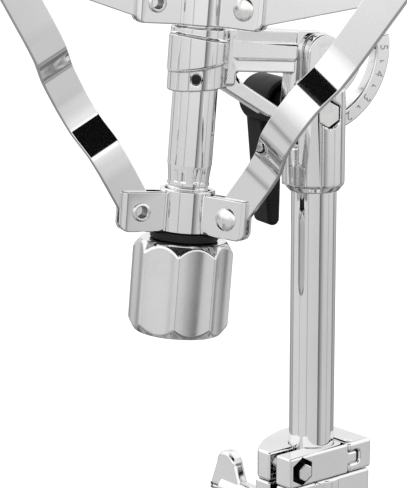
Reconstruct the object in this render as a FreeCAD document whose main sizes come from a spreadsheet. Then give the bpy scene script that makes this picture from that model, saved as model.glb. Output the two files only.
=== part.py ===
import FreeCAD, Part
import Sketcher
import math
import os

# Snare drum stand: tripod base, height tube, slotted tilter and a three-armed drum basket.
# The floor is z = 0, the tube axis is the Z axis, the basket post stands on the -X side.

DIMS = {
    # fits and cutting allowances
    "overrun": 2, "snug": 0.02, "fit_gap": 0.05, "air_gap": 0.4,
    # base tube and height tube
    "base_tube_radius": 14.3, "base_tube_wall": 1.2, "base_tube_below_spider": 14, "base_tube_top": 282,
    "upper_tube_radius": 12.7, "upper_tube_wall": 1.5, "upper_tube_bottom": 120,
    # tripod: pin radius, brace length, opening angle, spider and collar
    "leg_pin_reach": 30, "brace_length": 105, "leg_angle": 54, "leg_end_height": 11.9,
    "leg_length": 268, "leg_turn": 180, "leg_half_width": 9, "leg_wall": 1.6, "leg_back": 11, "leg_front": 8,
    "leg_end_radius": 8.5, "brace_half_width": 3.5, "brace_end_radius": 7, "tripod_rivet_radius": 2.5,
    "tripod_head_radius": 5, "tripod_head_height": 2, "collar_radius": 20, "collar_half_height": 12,
    "tab_half_width": 5, "tab_radius": 7.2, "tab_play": 1.9, "spider_ring_radius": 19,
    "spider_half_height": 10,
    "spider_gap": 3.9, "spider_cheek": 2.6, "spider_reach": 38, "foot_radius": 15, "foot_height": 30,
    "foot_top_radius": 13.2, "foot_reach_share": 0.985,
    "leg_boss_radius": 8, "leg_boss_reach": 26, "leg_screw_radius": 4, "leg_screw_hub_radius": 7,
    "leg_screw_hub_length": 8, "leg_wing_length": 16, "leg_wing_span": 17, "leg_wing_root": 5,
    "leg_wing_half": 2.5,
    # height clamp, its bolt and wing nut
    "clamp_turn": 11.1, "clamp_bottom": 246, "clamp_block_bottom": 260, "clamp_top": 288,
    "clamp_ring_radius": 18.6, "clamp_lug_right": 30,
    "lock_left": 32.3, "lock_right": 31, "lock_corner": 36, "lock_front": 17.6, "lock_arc_radius": 62,
    "lock_arc_u": 13,
    "lock_arc_v": 32.5, "lug_gap_front": 5.4, "lug_gap_rear": 0.1, "lug_slit_depth": 13, "lug_rear_flat": 12,
    "clamp_bolt_u": 23, "clamp_bolt_z": 271, "clamp_bolt_radius": 4, "clamp_head_across": 13,
    "clamp_head_height": 5.5, "clamp_bolt_rear": 42, "wing_hub_radius": 6.5, "wing_hub_length": 36,
    "wing_hub_nose": 7, "wing_span": 23.2, "wing_tip_half": 8.2, "wing_tip_round": 3.6,
    "wing_root_half": 13, "wing_thickness": 8,
    "wing_set": 4,
    # memory lock halves, hinge pin and bolt
    "lock_bottom": 288.4, "lock_height": 17.2, "lock_front_end": 12.9, "knuckle_gap": 0.4, "knuckle_u": 17,
    "knuckle_v": 12.5, "knuckle_slot_end": 21.5, "knuckle_half": 3.6, "knuckle_length": 5.5,
    "hinge_pin_radius": 1.6, "knuckle_back": 8.7, "lock_bolt_u": 22.8, "lock_bolt_radius": 3,
    "lock_recess_across": 14.4, "lock_recess_depth": 5, "lock_head_across": 8.8, "lock_head_height": 8,
    "lock_bolt_end": 6, "lock_edge": 1.2,
    # tilter pivot, yoke, clamp bolt and lever
    "pivot_height": 530, "tilt_angle": 5, "pivot_pin_radius": 4, "yoke_bottom": 77.6,
    "yoke_socket_top": 52, "yoke_front_top": 21, "yoke_taper_top": 13, "yoke_taper_radius": 11.3,
    "head_pocket_across": 14,
    "yoke_socket_radius": 17, "yoke_lip": 4, "yoke_lip_inset": 3, "cheek_gap": 4.4,
    "cheek_half": 10.6, "cheek_round": 10.7, "crown_drop": 0.2, "cheek_shoulder": 19,
    "cheek_left": 13, "cheek_right": 12.2, "cheek_bottom": 62,
    "slot_floor": 50, "tube_seat": 58, "tilt_bolt_drop": 33.4, "boss_radius": 10.4,
    "boss_half": 11, "shell_radius": 18, "shell_edge": 5.5,
    "tilt_bolt_radius": 4, "tilt_head_across": 13, "tilt_head_height": 3.8, "lever_neck_radius": 9,
    "lever_neck_start": 13, "lever_hub_radius": 14, "lever_hub_start": 29, "lever_hub_end": 61,
    "lever_hub_wall": 3,
    "lever_hub_recess": 6, "lever_length": 70, "lever_root_half": 8, "lever_tip_half": 4,
    "lever_tip_shift": 2.2, "lever_start": 46,
    "lever_end": 64, "lever_bolt_end": 44,
    # basket arm casting: collar, beam, rib, diagonal and slotted quadrant
    "post_offset": 73.8, "casting_radius": 15.4, "casting_bottom": 23.5, "casting_top": 11.4,
    "casting_slant": 3.9, "flare_in": 11.4, "flare_wide": 10.2, "flare_mid": 14.6, "flare_mid_wide": 8.1,
    "flare_end": 20.5, "flare_low": 19,
    "band_radius": 16,
    "band_bottom": 12.6, "band_top": 7.4, "tongue_half": 4,
    "beam_half": 6.4, "beam_end": 16, "beam_bottom": 12.1, "beam_top": 11, "rib_half": 7.4,
    "rib_bottom": 5, "rib_top": 3.6, "diagonal_left": 62, "diagonal_left_low": 19.8,
    "diagonal_left_high": 10.1, "diagonal_elbow": 31, "diagonal_elbow_low": 35.7,
    "diagonal_right_low": 39, "diagonal_top": 22.3, "diagonal_top_high": 31.5,
    "opening_start": 49, "opening_round": 2.5, "diagonal_half": 5,
    "quadrant_radius": 46.6, "quadrant_start": 14, "quadrant_sweep": 122, "slot_radius": 33.4,
    "slot_half": 4.2,
    "slot_start": 2, "slot_sweep": 100, "bridge_left": 18, "set_screw_radius": 2.35,
    "set_screw_length": 2.5, "set_screw_turn": 241, "set_screw_drop": 15.8, "set_screw_socket": 1.3,
    "set_screw_socket_depth": 1.5,
    # post: sleeve, stem and threaded rod
    "post_radius": 12.05, "post_step": 62.9, "stem_radius": 11.1, "stem_bottom": 100, "rod_radius": 5,
    "rod_bottom": 122,
    # hubs
    "arm_turn": 177, "hub_half_height": 10.9, "hub_sleeve": 15, "hub_slide_gap": 0.32, "fork_reach": 40,
    "fork_gap": 2.15, "fork_cheek": 2.5, "fork_root": 15.4, "pin_reach": 28.5,
    "lower_pin": 88.1, "upper_pin": 23.1,
    "web_rise": 1, "web_length": 0.8, "fork_corner": 4.4, "fork_end_round": 3.4, "fork_end_depth": 2.3,
    "fork_end_share": 0.4, "sleeve_rise": 1.5, "fork_corner_share": 0.333,
    "rivet_radius": 4, "rivet_head_radius": 6.35, "rivet_head_height": 2.2, "rolled_radius": 5.2,
    "rolled_height": 1, "rivet_bore": 3.1, "rivet_bore_depth": 7,
    # arms, struts and grips
    "arm_width": 20.2, "strut_width": 20.5, "arm_end_radius": 9, "arm_bar_start": 5, "arm_thickness": 3.6,
    "strut_thickness": 3.4, "arm_angle": 33.7, "strut_rise": 15.3,
    "arm_past_rivet": 76.5, "jog": 12, "strut_shift": 1.2, "jog_start": 37.5, "jog_first": 46.7,
    "jog_full": 56, "jog_hold": 83, "jog_last": 92, "jog_end": 101, "jog_half_share": 0.5, "arm_play": 1.6,
    "cross_rivet_radius": 3, "cross_head_radius": 6, "cross_head_height": 2, "grip_overlap": 34,
    "grip_seat_past": 10,
    "grip_half_width": 13.5, "grip_half_thick": 6.5, "grip_prong_past": 44,
    "grip_prong_in": 1, "grip_prong_tip_in": 4,
    "grip_prong_out": 11, "grip_tip": 10, "grip_bevel": 4,
    # knob and washer
    "knob_radius": 27.7, "knob_top": 103.4, "knob_bottom": 154.6, "knob_rim": 6.2, "knob_rim_inset": 4.5,
    "knob_base": 6, "knob_base_inset": 4.5, "scallops": 8, "scallop_radius": 46, "scallop_depth": 3.4,
    "knob_turn": 33.7, "knob_bore": 12.45, "knob_bore_depth": 25, "knob_thread_depth": 46,
    "knob_thread_gap": 0.35,
    "washer_outer": 18.5, "rubber_washer_top": 99.2, "rubber_washer_bottom": 103.2,
}

doc = FreeCAD.newDocument("snare_stand")
sheet = doc.addObject("Spreadsheet::Sheet", "dims")
for row, (alias, number) in enumerate(DIMS.items(), start=1):
    sheet.set("A%d" % row, alias)
    sheet.set("B%d" % row, str(number))
    sheet.setAlias("B%d" % row, alias)
doc.recompute()


# A size carries its number and the sheet expression that drives it.
class Size:
    def __init__(self, value, text):
        self.value = value
        self.text = text

    def __add__(self, other):
        other = size(other)
        return Size(self.value + other.value, "(%s + %s)" % (self.text, other.text))

    def __sub__(self, other):
        other = size(other)
        return Size(self.value - other.value, "(%s - %s)" % (self.text, other.text))

    def __mul__(self, other):
        other = size(other)
        return Size(self.value * other.value, "(%s * %s)" % (self.text, other.text))

    def __truediv__(self, other):
        other = size(other)
        return Size(self.value / other.value, "(%s / %s)" % (self.text, other.text))

    def __rsub__(self, other):
        return size(other) - self

    def __neg__(self):
        return Size(-self.value, "(0 - %s)" % self.text)

    __radd__ = __add__
    __rmul__ = __mul__


def size(item):
    return item if isinstance(item, Size) else Size(float(item), repr(float(item)))


def sine(angle):
    return Size(math.sin(math.radians(angle.value)), "sin(%s)" % angle.text)


def cosine(angle):
    return Size(math.cos(math.radians(angle.value)), "cos(%s)" % angle.text)


# Each dimension is read from the sheet by its alias.
class Dims:
    def __getattr__(self, alias):
        return Size(float(sheet.get(alias)), "dims." + alias)


d = Dims()
nodes = {}
FULL_TURN = 360
HALF_TURN = FULL_TURN / 2
QUARTER_TURN = FULL_TURN / 4
THIRD = FULL_TURN / 3
TWELFTH_TURN = FULL_TURN / 12
X_AXIS = FreeCAD.Vector(1, 0, 0)
Y_AXIS = FreeCAD.Vector(0, 1, 0)
Z_AXIS = FreeCAD.Vector(0, 0, 1)
ALONG = {
    "X": FreeCAD.Rotation(Z_AXIS, X_AXIS),
    "Y": FreeCAD.Rotation(Z_AXIS, Y_AXIS),
    "Z": FreeCAD.Rotation(),
}


# Bind properties to sheet expressions and set where an object stands.
def bind(item, **properties):
    for name, value in properties.items():
        value = size(value)
        setattr(item, name, value.value)
        item.setExpression(name, value.text)


def stand(item, at, rotation):
    at = [size(value) for value in at]
    item.Placement = FreeCAD.Placement(FreeCAD.Vector(*[value.value for value in at]), rotation)
    for name, value in zip("xyz", at):
        item.setExpression("Placement.Base." + name, value.text)
    return item


def block(name, low, high):
    item = doc.addObject("Part::Box", name)
    span = [size(b) - size(a) for a, b in zip(low, high)]
    bind(item, Length=span[0], Width=span[1], Height=span[2])
    return stand(item, low, FreeCAD.Rotation())


def rod(name, radius, start, end, across=(0, 0), axis="Z", sweep=FULL_TURN):
    item = doc.addObject("Part::Cylinder", name)
    bind(item, Radius=radius, Height=size(end) - start, Angle=sweep)
    at = list(across)
    at.insert("XYZ".index(axis), start)
    return stand(item, at, ALONG[axis])


def cone(name, radius_low, radius_high, start, end, across=(0, 0), axis="Z"):
    item = doc.addObject("Part::Cone", name)
    bind(item, Radius1=radius_low, Radius2=radius_high, Height=size(end) - start)
    at = list(across)
    at.insert("XYZ".index(axis), start)
    return stand(item, at, ALONG[axis])


def hexagon(name, across_flats, start, end, across, axis, spin=0):
    item = doc.addObject("Part::Prism", name)
    item.Polygon = 6
    bind(item, Circumradius=across_flats / cosine(size(TWELFTH_TURN)) / 2, Height=size(end) - start)
    at = list(across)
    at.insert("XYZ".index(axis), start)
    return stand(item, at, ALONG[axis].multiply(FreeCAD.Rotation(Z_AXIS, spin)))


# A plate drawn as a constrained sketch on an origin plane of its own body and padded evenly both ways.
def plate(name, points, half_thickness, plane="XY_Plane", shift=0):
    body = doc.addObject("PartDesign::Body", name)
    sketch = body.newObject("Sketcher::SketchObject", name + "_sketch")
    origin = [item for item in body.Origin.OriginFeatures if item.Role == plane][0]
    sketch.AttachmentSupport = [(origin, "")]
    sketch.MapMode = "FlatFace"
    points = [(size(u), size(v)) for u, v in points]
    corners = [FreeCAD.Vector(u.value, v.value, 0) for u, v in points]
    count = len(corners)
    for index in range(count):
        sketch.addGeometry(Part.LineSegment(corners[index], corners[(index + 1) % count]), False)
    for index in range(count):
        sketch.addConstraint(Sketcher.Constraint("Coincident", index, 2, (index + 1) % count, 1))
    for index, (u, v) in enumerate(points):
        for kind, value in (("DistanceX", u), ("DistanceY", v)):
            row = sketch.addConstraint(Sketcher.Constraint(kind, -1, 1, index, 1, value.value))
            sketch.setExpression("Constraints[%d]" % row, value.text)
    shift = size(shift)
    half_thickness = size(half_thickness)
    sketch.AttachmentOffset = FreeCAD.Placement(
        FreeCAD.Vector(0, 0, shift.value - half_thickness.value), FreeCAD.Rotation())
    sketch.setExpression("AttachmentOffset.Base.z", (shift - half_thickness).text)
    pad = body.newObject("PartDesign::Pad", name + "_pad")
    pad.Profile = sketch
    bind(pad, Length=half_thickness * 2)
    body.Tip = pad
    doc.recompute()
    return body


def fuse(name, *items):
    item = doc.addObject("Part::MultiFuse", name)
    item.Shapes = list(items)
    item.Refine = True
    return item


def cut(name, base, *tools):
    item = doc.addObject("Part::Cut", name)
    item.Base = base
    item.Tool = tools[0] if len(tools) == 1 else fuse(name + "_tools", *tools)
    return item


def common(name, first, second):
    item = doc.addObject("Part::Common", name)
    item.Base = first
    item.Tool = second
    return item


# A finished piece takes its label and its place in the stand.
def node(label, item, placement=FreeCAD.Placement()):
    item.Label = label
    if not placement.isIdentity():
        for name in "xyz":
            item.setExpression("Placement.Base." + name, None)
    item.Placement = placement.multiply(item.Placement)
    nodes[label] = item
    return item


# A tool turned about the Z axis.
def turned(item, angle):
    item.Placement = FreeCAD.Placement(FreeCAD.Vector(), FreeCAD.Rotation(Z_AXIS,
                                                                          angle)).multiply(item.Placement)
    for name in "xyz":
        item.setExpression("Placement.Base." + name, None)
    return item


# Frames: the clamp frame is turned about the tube, the basket frame leans about the tilter pivot.
turn_clamp = FreeCAD.Placement(FreeCAD.Vector(), FreeCAD.Rotation(Z_AXIS, d.clamp_turn.value))
lean = FreeCAD.Placement(FreeCAD.Vector(0, 0, d.pivot_height.value),
                         FreeCAD.Rotation(Y_AXIS, d.tilt_angle.value))
on_post = lean.multiply(FreeCAD.Placement(FreeCAD.Vector(-d.post_offset.value, 0, 0), FreeCAD.Rotation()))
UPRIGHT = FreeCAD.Rotation(Z_AXIS, X_AXIS, Y_AXIS, "XYZ")


# A bar frame: X runs along the bar at an angle from the axis, Z is tangential, origin at the pin.
def bar_frame(base, turn, reach, height, angle):
    radial = FreeCAD.Placement(FreeCAD.Vector(), FreeCAD.Rotation(Z_AXIS, turn))
    pin = FreeCAD.Placement(FreeCAD.Vector(reach.value, 0, height.value), UPRIGHT)
    swing = FreeCAD.Placement(FreeCAD.Vector(), FreeCAD.Rotation(Z_AXIS, angle.value))
    return base.multiply(radial).multiply(pin).multiply(swing)


def radial_frame(base, turn):
    return base.multiply(FreeCAD.Placement(FreeCAD.Vector(), FreeCAD.Rotation(Z_AXIS, turn)))


# Heights of the tripod: the legs stand on the floor and carry the collar, the braces carry the spider
collar_height = d.leg_end_height + d.leg_length * cosine(d.leg_angle)
spider_height = collar_height - 2 * d.brace_length * cosine(d.leg_angle)
spider_low = spider_height - d.spider_half_height
spider_high = spider_height + d.spider_half_height
base_tube_bottom = spider_low - d.base_tube_below_spider

# Base tube
node("base_tube", cut(
    "base_tube", rod("base_tube_out", d.base_tube_radius, base_tube_bottom, d.base_tube_top),
    rod("base_tube_in", d.base_tube_radius - d.base_tube_wall, base_tube_bottom - d.overrun,
        d.base_tube_top + d.overrun)))

# Lower spider: a ring on the base tube with three pairs of cheeks
tube_bore = d.base_tube_radius + d.snug
spider_items = [rod("spider_ring", d.spider_ring_radius, spider_low, spider_high)]
spider_cuts = [rod("spider_bore", tube_bore, spider_low - d.overrun, spider_high + d.overrun)]
spider_rivets = []
for index in range(3):
    turn = d.leg_turn.value + THIRD * index
    cheek_out = d.spider_gap + d.spider_cheek
    lug = block("spider_lug_%d" % index, (0, -cheek_out, spider_low), (d.spider_reach, cheek_out,
                                                                       spider_high))
    gap = block("spider_gap_%d" % index, (d.spider_ring_radius, -d.spider_gap, spider_low - d.overrun),
                (d.spider_reach + d.overrun, d.spider_gap, spider_high + d.overrun))
    hole = rod("spider_hole_%d" % index, d.tripod_rivet_radius + d.snug, -cheek_out - d.overrun,
               cheek_out + d.overrun, (d.leg_pin_reach, spider_height), "Y")
    spider_items.append(turned(lug, turn))
    spider_cuts += [turned(gap, turn), turned(hole, turn)]
    shank = rod("spider_pin_%d" % index, d.tripod_rivet_radius, -cheek_out, cheek_out,
                (d.leg_pin_reach, spider_height), "Y")
    heads = [cone("spider_head_%d" % index, d.tripod_head_radius, d.tripod_rivet_radius, cheek_out,
                  cheek_out + d.tripod_head_height, (d.leg_pin_reach, spider_height), "Y"),
             cone("spider_tail_%d" % index, d.tripod_rivet_radius, d.tripod_head_radius,
                  -cheek_out - d.tripod_head_height, -cheek_out, (d.leg_pin_reach, spider_height), "Y")]
    spider_rivets.append(turned(fuse("spider_rivet_%d" % index, shank, *heads), turn))
node("leg_spider", cut("leg_spider", fuse("spider_body", *spider_items), *spider_cuts))
spider_set = doc.addObject("Part::Compound", "spider_rivets")
spider_set.Links = spider_rivets
node("spider_rivets", spider_set)

# Sliding leg collar: ring, three tabs and a boss for the wing screw
collar_low = collar_height - d.collar_half_height
collar_high = collar_height + d.collar_half_height
collar_items = [rod("collar_ring", d.collar_radius, collar_low, collar_high)]
collar_cuts = [rod("collar_bore", d.base_tube_radius + d.air_gap, collar_low - d.overrun,
                   collar_high + d.overrun)]
for index in range(3):
    turn = d.leg_turn.value + THIRD * index
    tab = block("collar_tab_%d" % index, (0, -d.tab_half_width, collar_height - d.tab_radius),
                (d.leg_pin_reach, d.tab_half_width, collar_height + d.tab_radius))
    tip = rod("collar_tip_%d" % index, d.tab_radius, -d.tab_half_width, d.tab_half_width,
              (d.leg_pin_reach, collar_height), "Y")
    hole = rod("collar_hole_%d" % index, d.tripod_rivet_radius + d.tab_play, -d.tab_half_width - d.overrun,
               d.tab_half_width + d.overrun, (d.leg_pin_reach, collar_height), "Y")
    collar_items += [turned(tab, turn), turned(tip, turn)]
    collar_cuts.append(turned(hole, turn))
screw_turn = d.leg_turn.value + THIRD + THIRD / 2
collar_items.append(turned(rod("collar_boss", d.leg_boss_radius, 0, d.leg_boss_reach, (0, collar_height),
                               "X"),
                           screw_turn))
collar_cuts.append(turned(rod("collar_thread", d.leg_screw_radius + d.fit_gap, 0,
                              d.leg_boss_reach + d.overrun,
                              (0, collar_height), "X"), screw_turn))
node("leg_collar", cut("leg_collar", fuse("collar_body", *collar_items), *collar_cuts))

# Wing screw of the leg collar
screw_tip = d.base_tube_radius + d.air_gap
hub_start = d.leg_boss_reach + d.air_gap
hub_end = hub_start + d.leg_screw_hub_length
wing_end = hub_end + d.leg_wing_length
leg_wing = plate("leg_wing", [
    (hub_start, -d.leg_wing_root), (hub_end, -d.leg_wing_root), (hub_end + d.leg_wing_root, -d.leg_wing_span),
    (wing_end, -d.leg_wing_span), (wing_end, -d.leg_wing_root), (hub_end + d.leg_wing_root, 0),
    (wing_end, d.leg_wing_root), (wing_end, d.leg_wing_span), (hub_end + d.leg_wing_root, d.leg_wing_span),
    (hub_end, d.leg_wing_root), (hub_start, d.leg_wing_root)], d.leg_wing_half)
leg_screw = fuse("leg_wing_screw", rod("leg_screw_shank", d.leg_screw_radius, screw_tip, hub_end, axis="X"),
                 rod("leg_screw_hub", d.leg_screw_hub_radius, hub_start, hub_end, axis="X"), leg_wing)
node("leg_wing_screw", leg_screw, FreeCAD.Placement(
    FreeCAD.Vector(0, 0, collar_height.value), FreeCAD.Rotation(Z_AXIS, screw_turn)).multiply(
        FreeCAD.Placement(FreeCAD.Vector(), FreeCAD.Rotation(X_AXIS, QUARTER_TURN))))

# Legs, braces, rivets and feet
for index in range(3):
    turn = d.leg_turn.value + THIRD * index
    tag = "_%d" % (index + 1)
    base = FreeCAD.Placement()
    inner = d.leg_half_width - d.leg_wall
    channel = block("leg_channel" + tag, (0, -d.leg_back, -d.leg_half_width),
                    (d.leg_length, d.leg_front, d.leg_half_width))
    ears = rod("leg_ears" + tag, d.leg_end_radius, -d.leg_half_width, d.leg_half_width)
    hollow = block("leg_hollow" + tag, (-d.leg_end_radius - d.overrun, d.leg_wall - d.leg_back, -inner),
                   (d.leg_length + d.overrun, d.leg_front + d.overrun, inner))
    top_hole = rod("leg_top_hole" + tag, d.tripod_rivet_radius + d.snug, -d.leg_half_width - d.overrun,
                   d.leg_half_width + d.overrun)
    mid_hole = rod("leg_mid_hole" + tag, d.tripod_rivet_radius + d.snug, -d.leg_half_width - d.overrun,
                   d.leg_half_width + d.overrun, (d.brace_length, 0))
    leg_frame = bar_frame(base, turn, d.leg_pin_reach, collar_height, HALF_TURN - d.leg_angle)
    leg = node("leg" + tag, cut("leg" + tag, fuse("leg_blank" + tag, channel, ears), hollow, top_hole,
                                mid_hole),
               leg_frame)
    leg_rivets = []
    for place, along in (("top", size(0)), ("mid", d.brace_length)):
        half = d.leg_half_width
        leg_rivets.append(fuse(
            "leg_rivet_%s%s" % (place, tag),
            rod("leg_pin_%s%s" % (place, tag), d.tripod_rivet_radius, -half, half, (along, 0)),
            cone("leg_head_%s%s" % (place, tag), d.tripod_head_radius, d.tripod_rivet_radius, half,
                 half + d.tripod_head_height, (along, 0)),
            cone("leg_tail_%s%s" % (place, tag), d.tripod_rivet_radius, d.tripod_head_radius,
                 -half - d.tripod_head_height, -half, (along, 0))))
    rivet_set = doc.addObject("Part::Compound", "leg_rivets" + tag)
    rivet_set.Links = leg_rivets
    node("leg_rivets" + tag, rivet_set, leg_frame)
    brace_body = fuse("brace_body" + tag,
                      block("brace_bar" + tag, (0, -d.brace_end_radius, -d.brace_half_width),
                            (d.brace_length, d.brace_end_radius, d.brace_half_width)),
                      rod("brace_low" + tag, d.brace_end_radius, -d.brace_half_width, d.brace_half_width),
                      rod("brace_high" + tag, d.brace_end_radius, -d.brace_half_width, d.brace_half_width,
                          (d.brace_length, 0)))
    brace_holes = [rod("brace_hole_%s%s" % (place, tag), d.tripod_rivet_radius + d.fit_gap,
                       -d.brace_half_width - d.overrun, d.brace_half_width + d.overrun, (along, 0))
                   for place, along in (("low", size(0)), ("high", d.brace_length))]
    node("brace" + tag, cut("brace" + tag, brace_body, *brace_holes),
         bar_frame(base, turn, d.leg_pin_reach, spider_height, d.leg_angle))
    reach = d.leg_pin_reach + d.leg_length * d.foot_reach_share * sine(d.leg_angle)
    foot_blank = cone("foot_blank" + tag, d.foot_radius, d.foot_top_radius, 0, d.foot_height, (reach, 0))
    node("foot" + tag, cut("foot" + tag, turned(foot_blank, turn), leg))

# The plan outline of the memory lock
def lock_outline(name, low, high):
    slab = block(name + "_block", (-d.lock_left, -d.lock_front, low), (d.lock_right, d.lock_arc_radius, high))
    arc = rod(name + "_round", d.lock_arc_radius, low - d.overrun, high + d.overrun, (d.lock_arc_u,
                                                                                      -d.lock_arc_v))
    corner = rod(name + "_corner", d.lock_corner, low - d.overrun, high + d.overrun)
    return common(name, common(name + "_slab", slab, arc), corner)


# Height clamp on the base tube, split at its lugs
clamp_body = fuse("clamp_body", rod("clamp_ring", d.clamp_ring_radius, d.clamp_bottom, d.clamp_top),
                  block("clamp_lugs", (-d.lock_left, -d.lock_front, d.clamp_block_bottom),
                        (-d.lug_slit_depth, d.lug_rear_flat, d.clamp_top)),
                  block("clamp_front", (-d.lug_slit_depth, -d.lock_front, d.clamp_block_bottom),
                        (d.clamp_lug_right, 0, d.clamp_top)))
clamp_cuts = [
    rod("clamp_bore", tube_bore, d.clamp_bottom - d.overrun, d.base_tube_top),
    rod("clamp_mouth", d.upper_tube_radius + d.air_gap, d.base_tube_top - d.overrun, d.clamp_top + d.overrun),
    block("clamp_slit", (-d.lock_left - d.overrun, -d.lug_gap_front, d.clamp_bottom - d.overrun),
          (-d.lug_slit_depth, -d.lug_gap_rear, d.clamp_top + d.overrun)),
    rod("clamp_bolt_hole", d.clamp_bolt_radius + d.fit_gap, -d.lock_front - d.overrun, d.lock_front,
        (-d.clamp_bolt_u, d.clamp_bolt_z), "Y")]
node("height_clamp", cut("height_clamp", clamp_body, *clamp_cuts), turn_clamp)
clamp_at = (-d.clamp_bolt_u, d.clamp_bolt_z)
node("height_bolt", fuse(
    "height_bolt", rod("height_bolt_shank", d.clamp_bolt_radius, -d.lock_front, d.clamp_bolt_rear,
                       clamp_at, "Y"),
    hexagon("height_bolt_head", d.clamp_head_across, -d.lock_front - d.clamp_head_height, -d.lock_front,
            clamp_at, "Y",
            TWELFTH_TURN)), turn_clamp)

# Wing nut on the rear end of the clamp bolt
nut_start = d.lug_rear_flat + d.fit_gap
nut_end = nut_start + d.wing_hub_length
wing_middle = nut_end - d.wing_set
wings = []
for side in (1, -1):
    wings.append(plate("height_wing_up" if side > 0 else "height_wing_down", [
        (wing_middle + d.wing_root_half, 0), (wing_middle + d.wing_root_half, side * d.wing_hub_radius),
        (wing_middle + d.wing_tip_half, side * (d.wing_span - d.wing_tip_round)),
        (wing_middle + d.wing_tip_half - d.wing_tip_round, side * d.wing_span),
        (wing_middle - d.wing_tip_half + d.wing_tip_round, side * d.wing_span),
        (wing_middle - d.wing_tip_half, side * (d.wing_span - d.wing_tip_round)),
        (wing_middle - d.wing_root_half, side * d.wing_hub_radius),
        (wing_middle - d.wing_root_half, 0)],
        d.wing_thickness / 2, "YZ_Plane"))
nut_blank = fuse("height_nut_blank", cone("height_nut_hub", d.wing_hub_radius, d.wing_hub_nose, nut_start,
                                          nut_end, (0, 0), "Y"), *wings)
nut = cut("height_wing_nut", nut_blank,
          rod("height_nut_bore", d.clamp_bolt_radius + d.fit_gap, nut_start - d.overrun,
              wing_middle + d.wing_root_half + d.overrun, (0, 0), "Y"))
node("height_wing_nut", nut, turn_clamp.multiply(FreeCAD.Placement(
    FreeCAD.Vector(-d.clamp_bolt_u.value, 0, d.clamp_bolt_z.value), FreeCAD.Rotation())))

# Memory lock: rear half with two knuckles, front half with one, hinge pin and bolt
lock_top = d.lock_bottom + d.lock_height
lock_mid = d.lock_bottom + d.lock_height / 2
lock_bore = d.upper_tube_radius + d.fit_gap
lock_at = (-d.lock_bolt_u, lock_mid)
low, high = d.lock_bottom - d.overrun, lock_top + d.overrun
rear_start = d.lock_front_end + d.knuckle_gap
rear_cuts = [
    block("lock_split", (-d.lock_left - d.overrun, -d.lock_front - d.overrun, low),
          (rear_start, -d.lug_gap_rear, high)),
    block("lock_knuckle_slot", (d.lock_front_end, -d.lock_front - d.overrun, lock_mid - d.knuckle_half),
          (d.knuckle_slot_end, -d.knuckle_back + d.knuckle_gap, lock_mid + d.knuckle_half)),
    rod("lock_rear_bore", lock_bore, low, high),
    rod("lock_rear_pin", d.hinge_pin_radius + d.snug, low, high, (d.knuckle_u, -d.knuckle_v)),
    rod("lock_rear_bolt", d.lock_bolt_radius + d.snug, -d.lock_front, d.lock_bolt_end + d.overrun, lock_at,
        "Y")]
rear_body = lock_outline("lock_outline", d.lock_bottom, lock_top)
node("memory_lock_rear", cut("memory_lock_rear", rear_body, *rear_cuts), turn_clamp)
tongue = d.knuckle_half - d.knuckle_gap
front_body = fuse(
    "lock_front_body",
    block("lock_front_bar", (-d.lock_left, -d.lock_front, d.lock_bottom),
          (d.lock_front_end, -d.lug_gap_front, lock_top)),
    block("lock_tongue", (d.lock_front_end - d.overrun, -d.lock_front, lock_mid - tongue),
          (d.knuckle_u + d.knuckle_length / 2, -d.knuckle_back, lock_mid + tongue)))
front_cuts = [
    rod("lock_front_bore", lock_bore, low, high),
    rod("lock_front_pin", d.hinge_pin_radius + d.snug, low, high, (d.knuckle_u, -d.knuckle_v)),
    rod("lock_front_bolt", d.lock_bolt_radius + d.snug, -d.lock_front, d.lock_front, lock_at, "Y"),
    hexagon("lock_recess", d.lock_recess_across, -d.lock_front - d.overrun,
            d.lock_recess_depth - d.lock_front,
            lock_at, "Y", TWELFTH_TURN)]
node("memory_lock_front", cut("memory_lock_front", front_body, *front_cuts), turn_clamp)
node("memory_hinge_pin", rod("memory_hinge_pin", d.hinge_pin_radius, d.lock_bottom, lock_top,
                             (d.knuckle_u, -d.knuckle_v)), turn_clamp)
recess_floor = d.lock_recess_depth - d.lock_front
node("memory_bolt", fuse(
    "memory_bolt", rod("lock_bolt_shank", d.lock_bolt_radius, recess_floor, d.lock_bolt_end, lock_at, "Y"),
    hexagon("lock_bolt_head", d.lock_head_across, recess_floor - d.lock_head_height, recess_floor, lock_at,
            "Y",
            TWELFTH_TURN)), turn_clamp)

# Height tube
tube_top = d.pivot_height - d.tube_seat
node("upper_tube", cut(
    "upper_tube", rod("upper_tube_out", d.upper_tube_radius, d.upper_tube_bottom, tube_top),
    rod("upper_tube_in", d.upper_tube_radius - d.upper_tube_wall, d.upper_tube_bottom - d.overrun,
        tube_top + d.overrun)))

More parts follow.
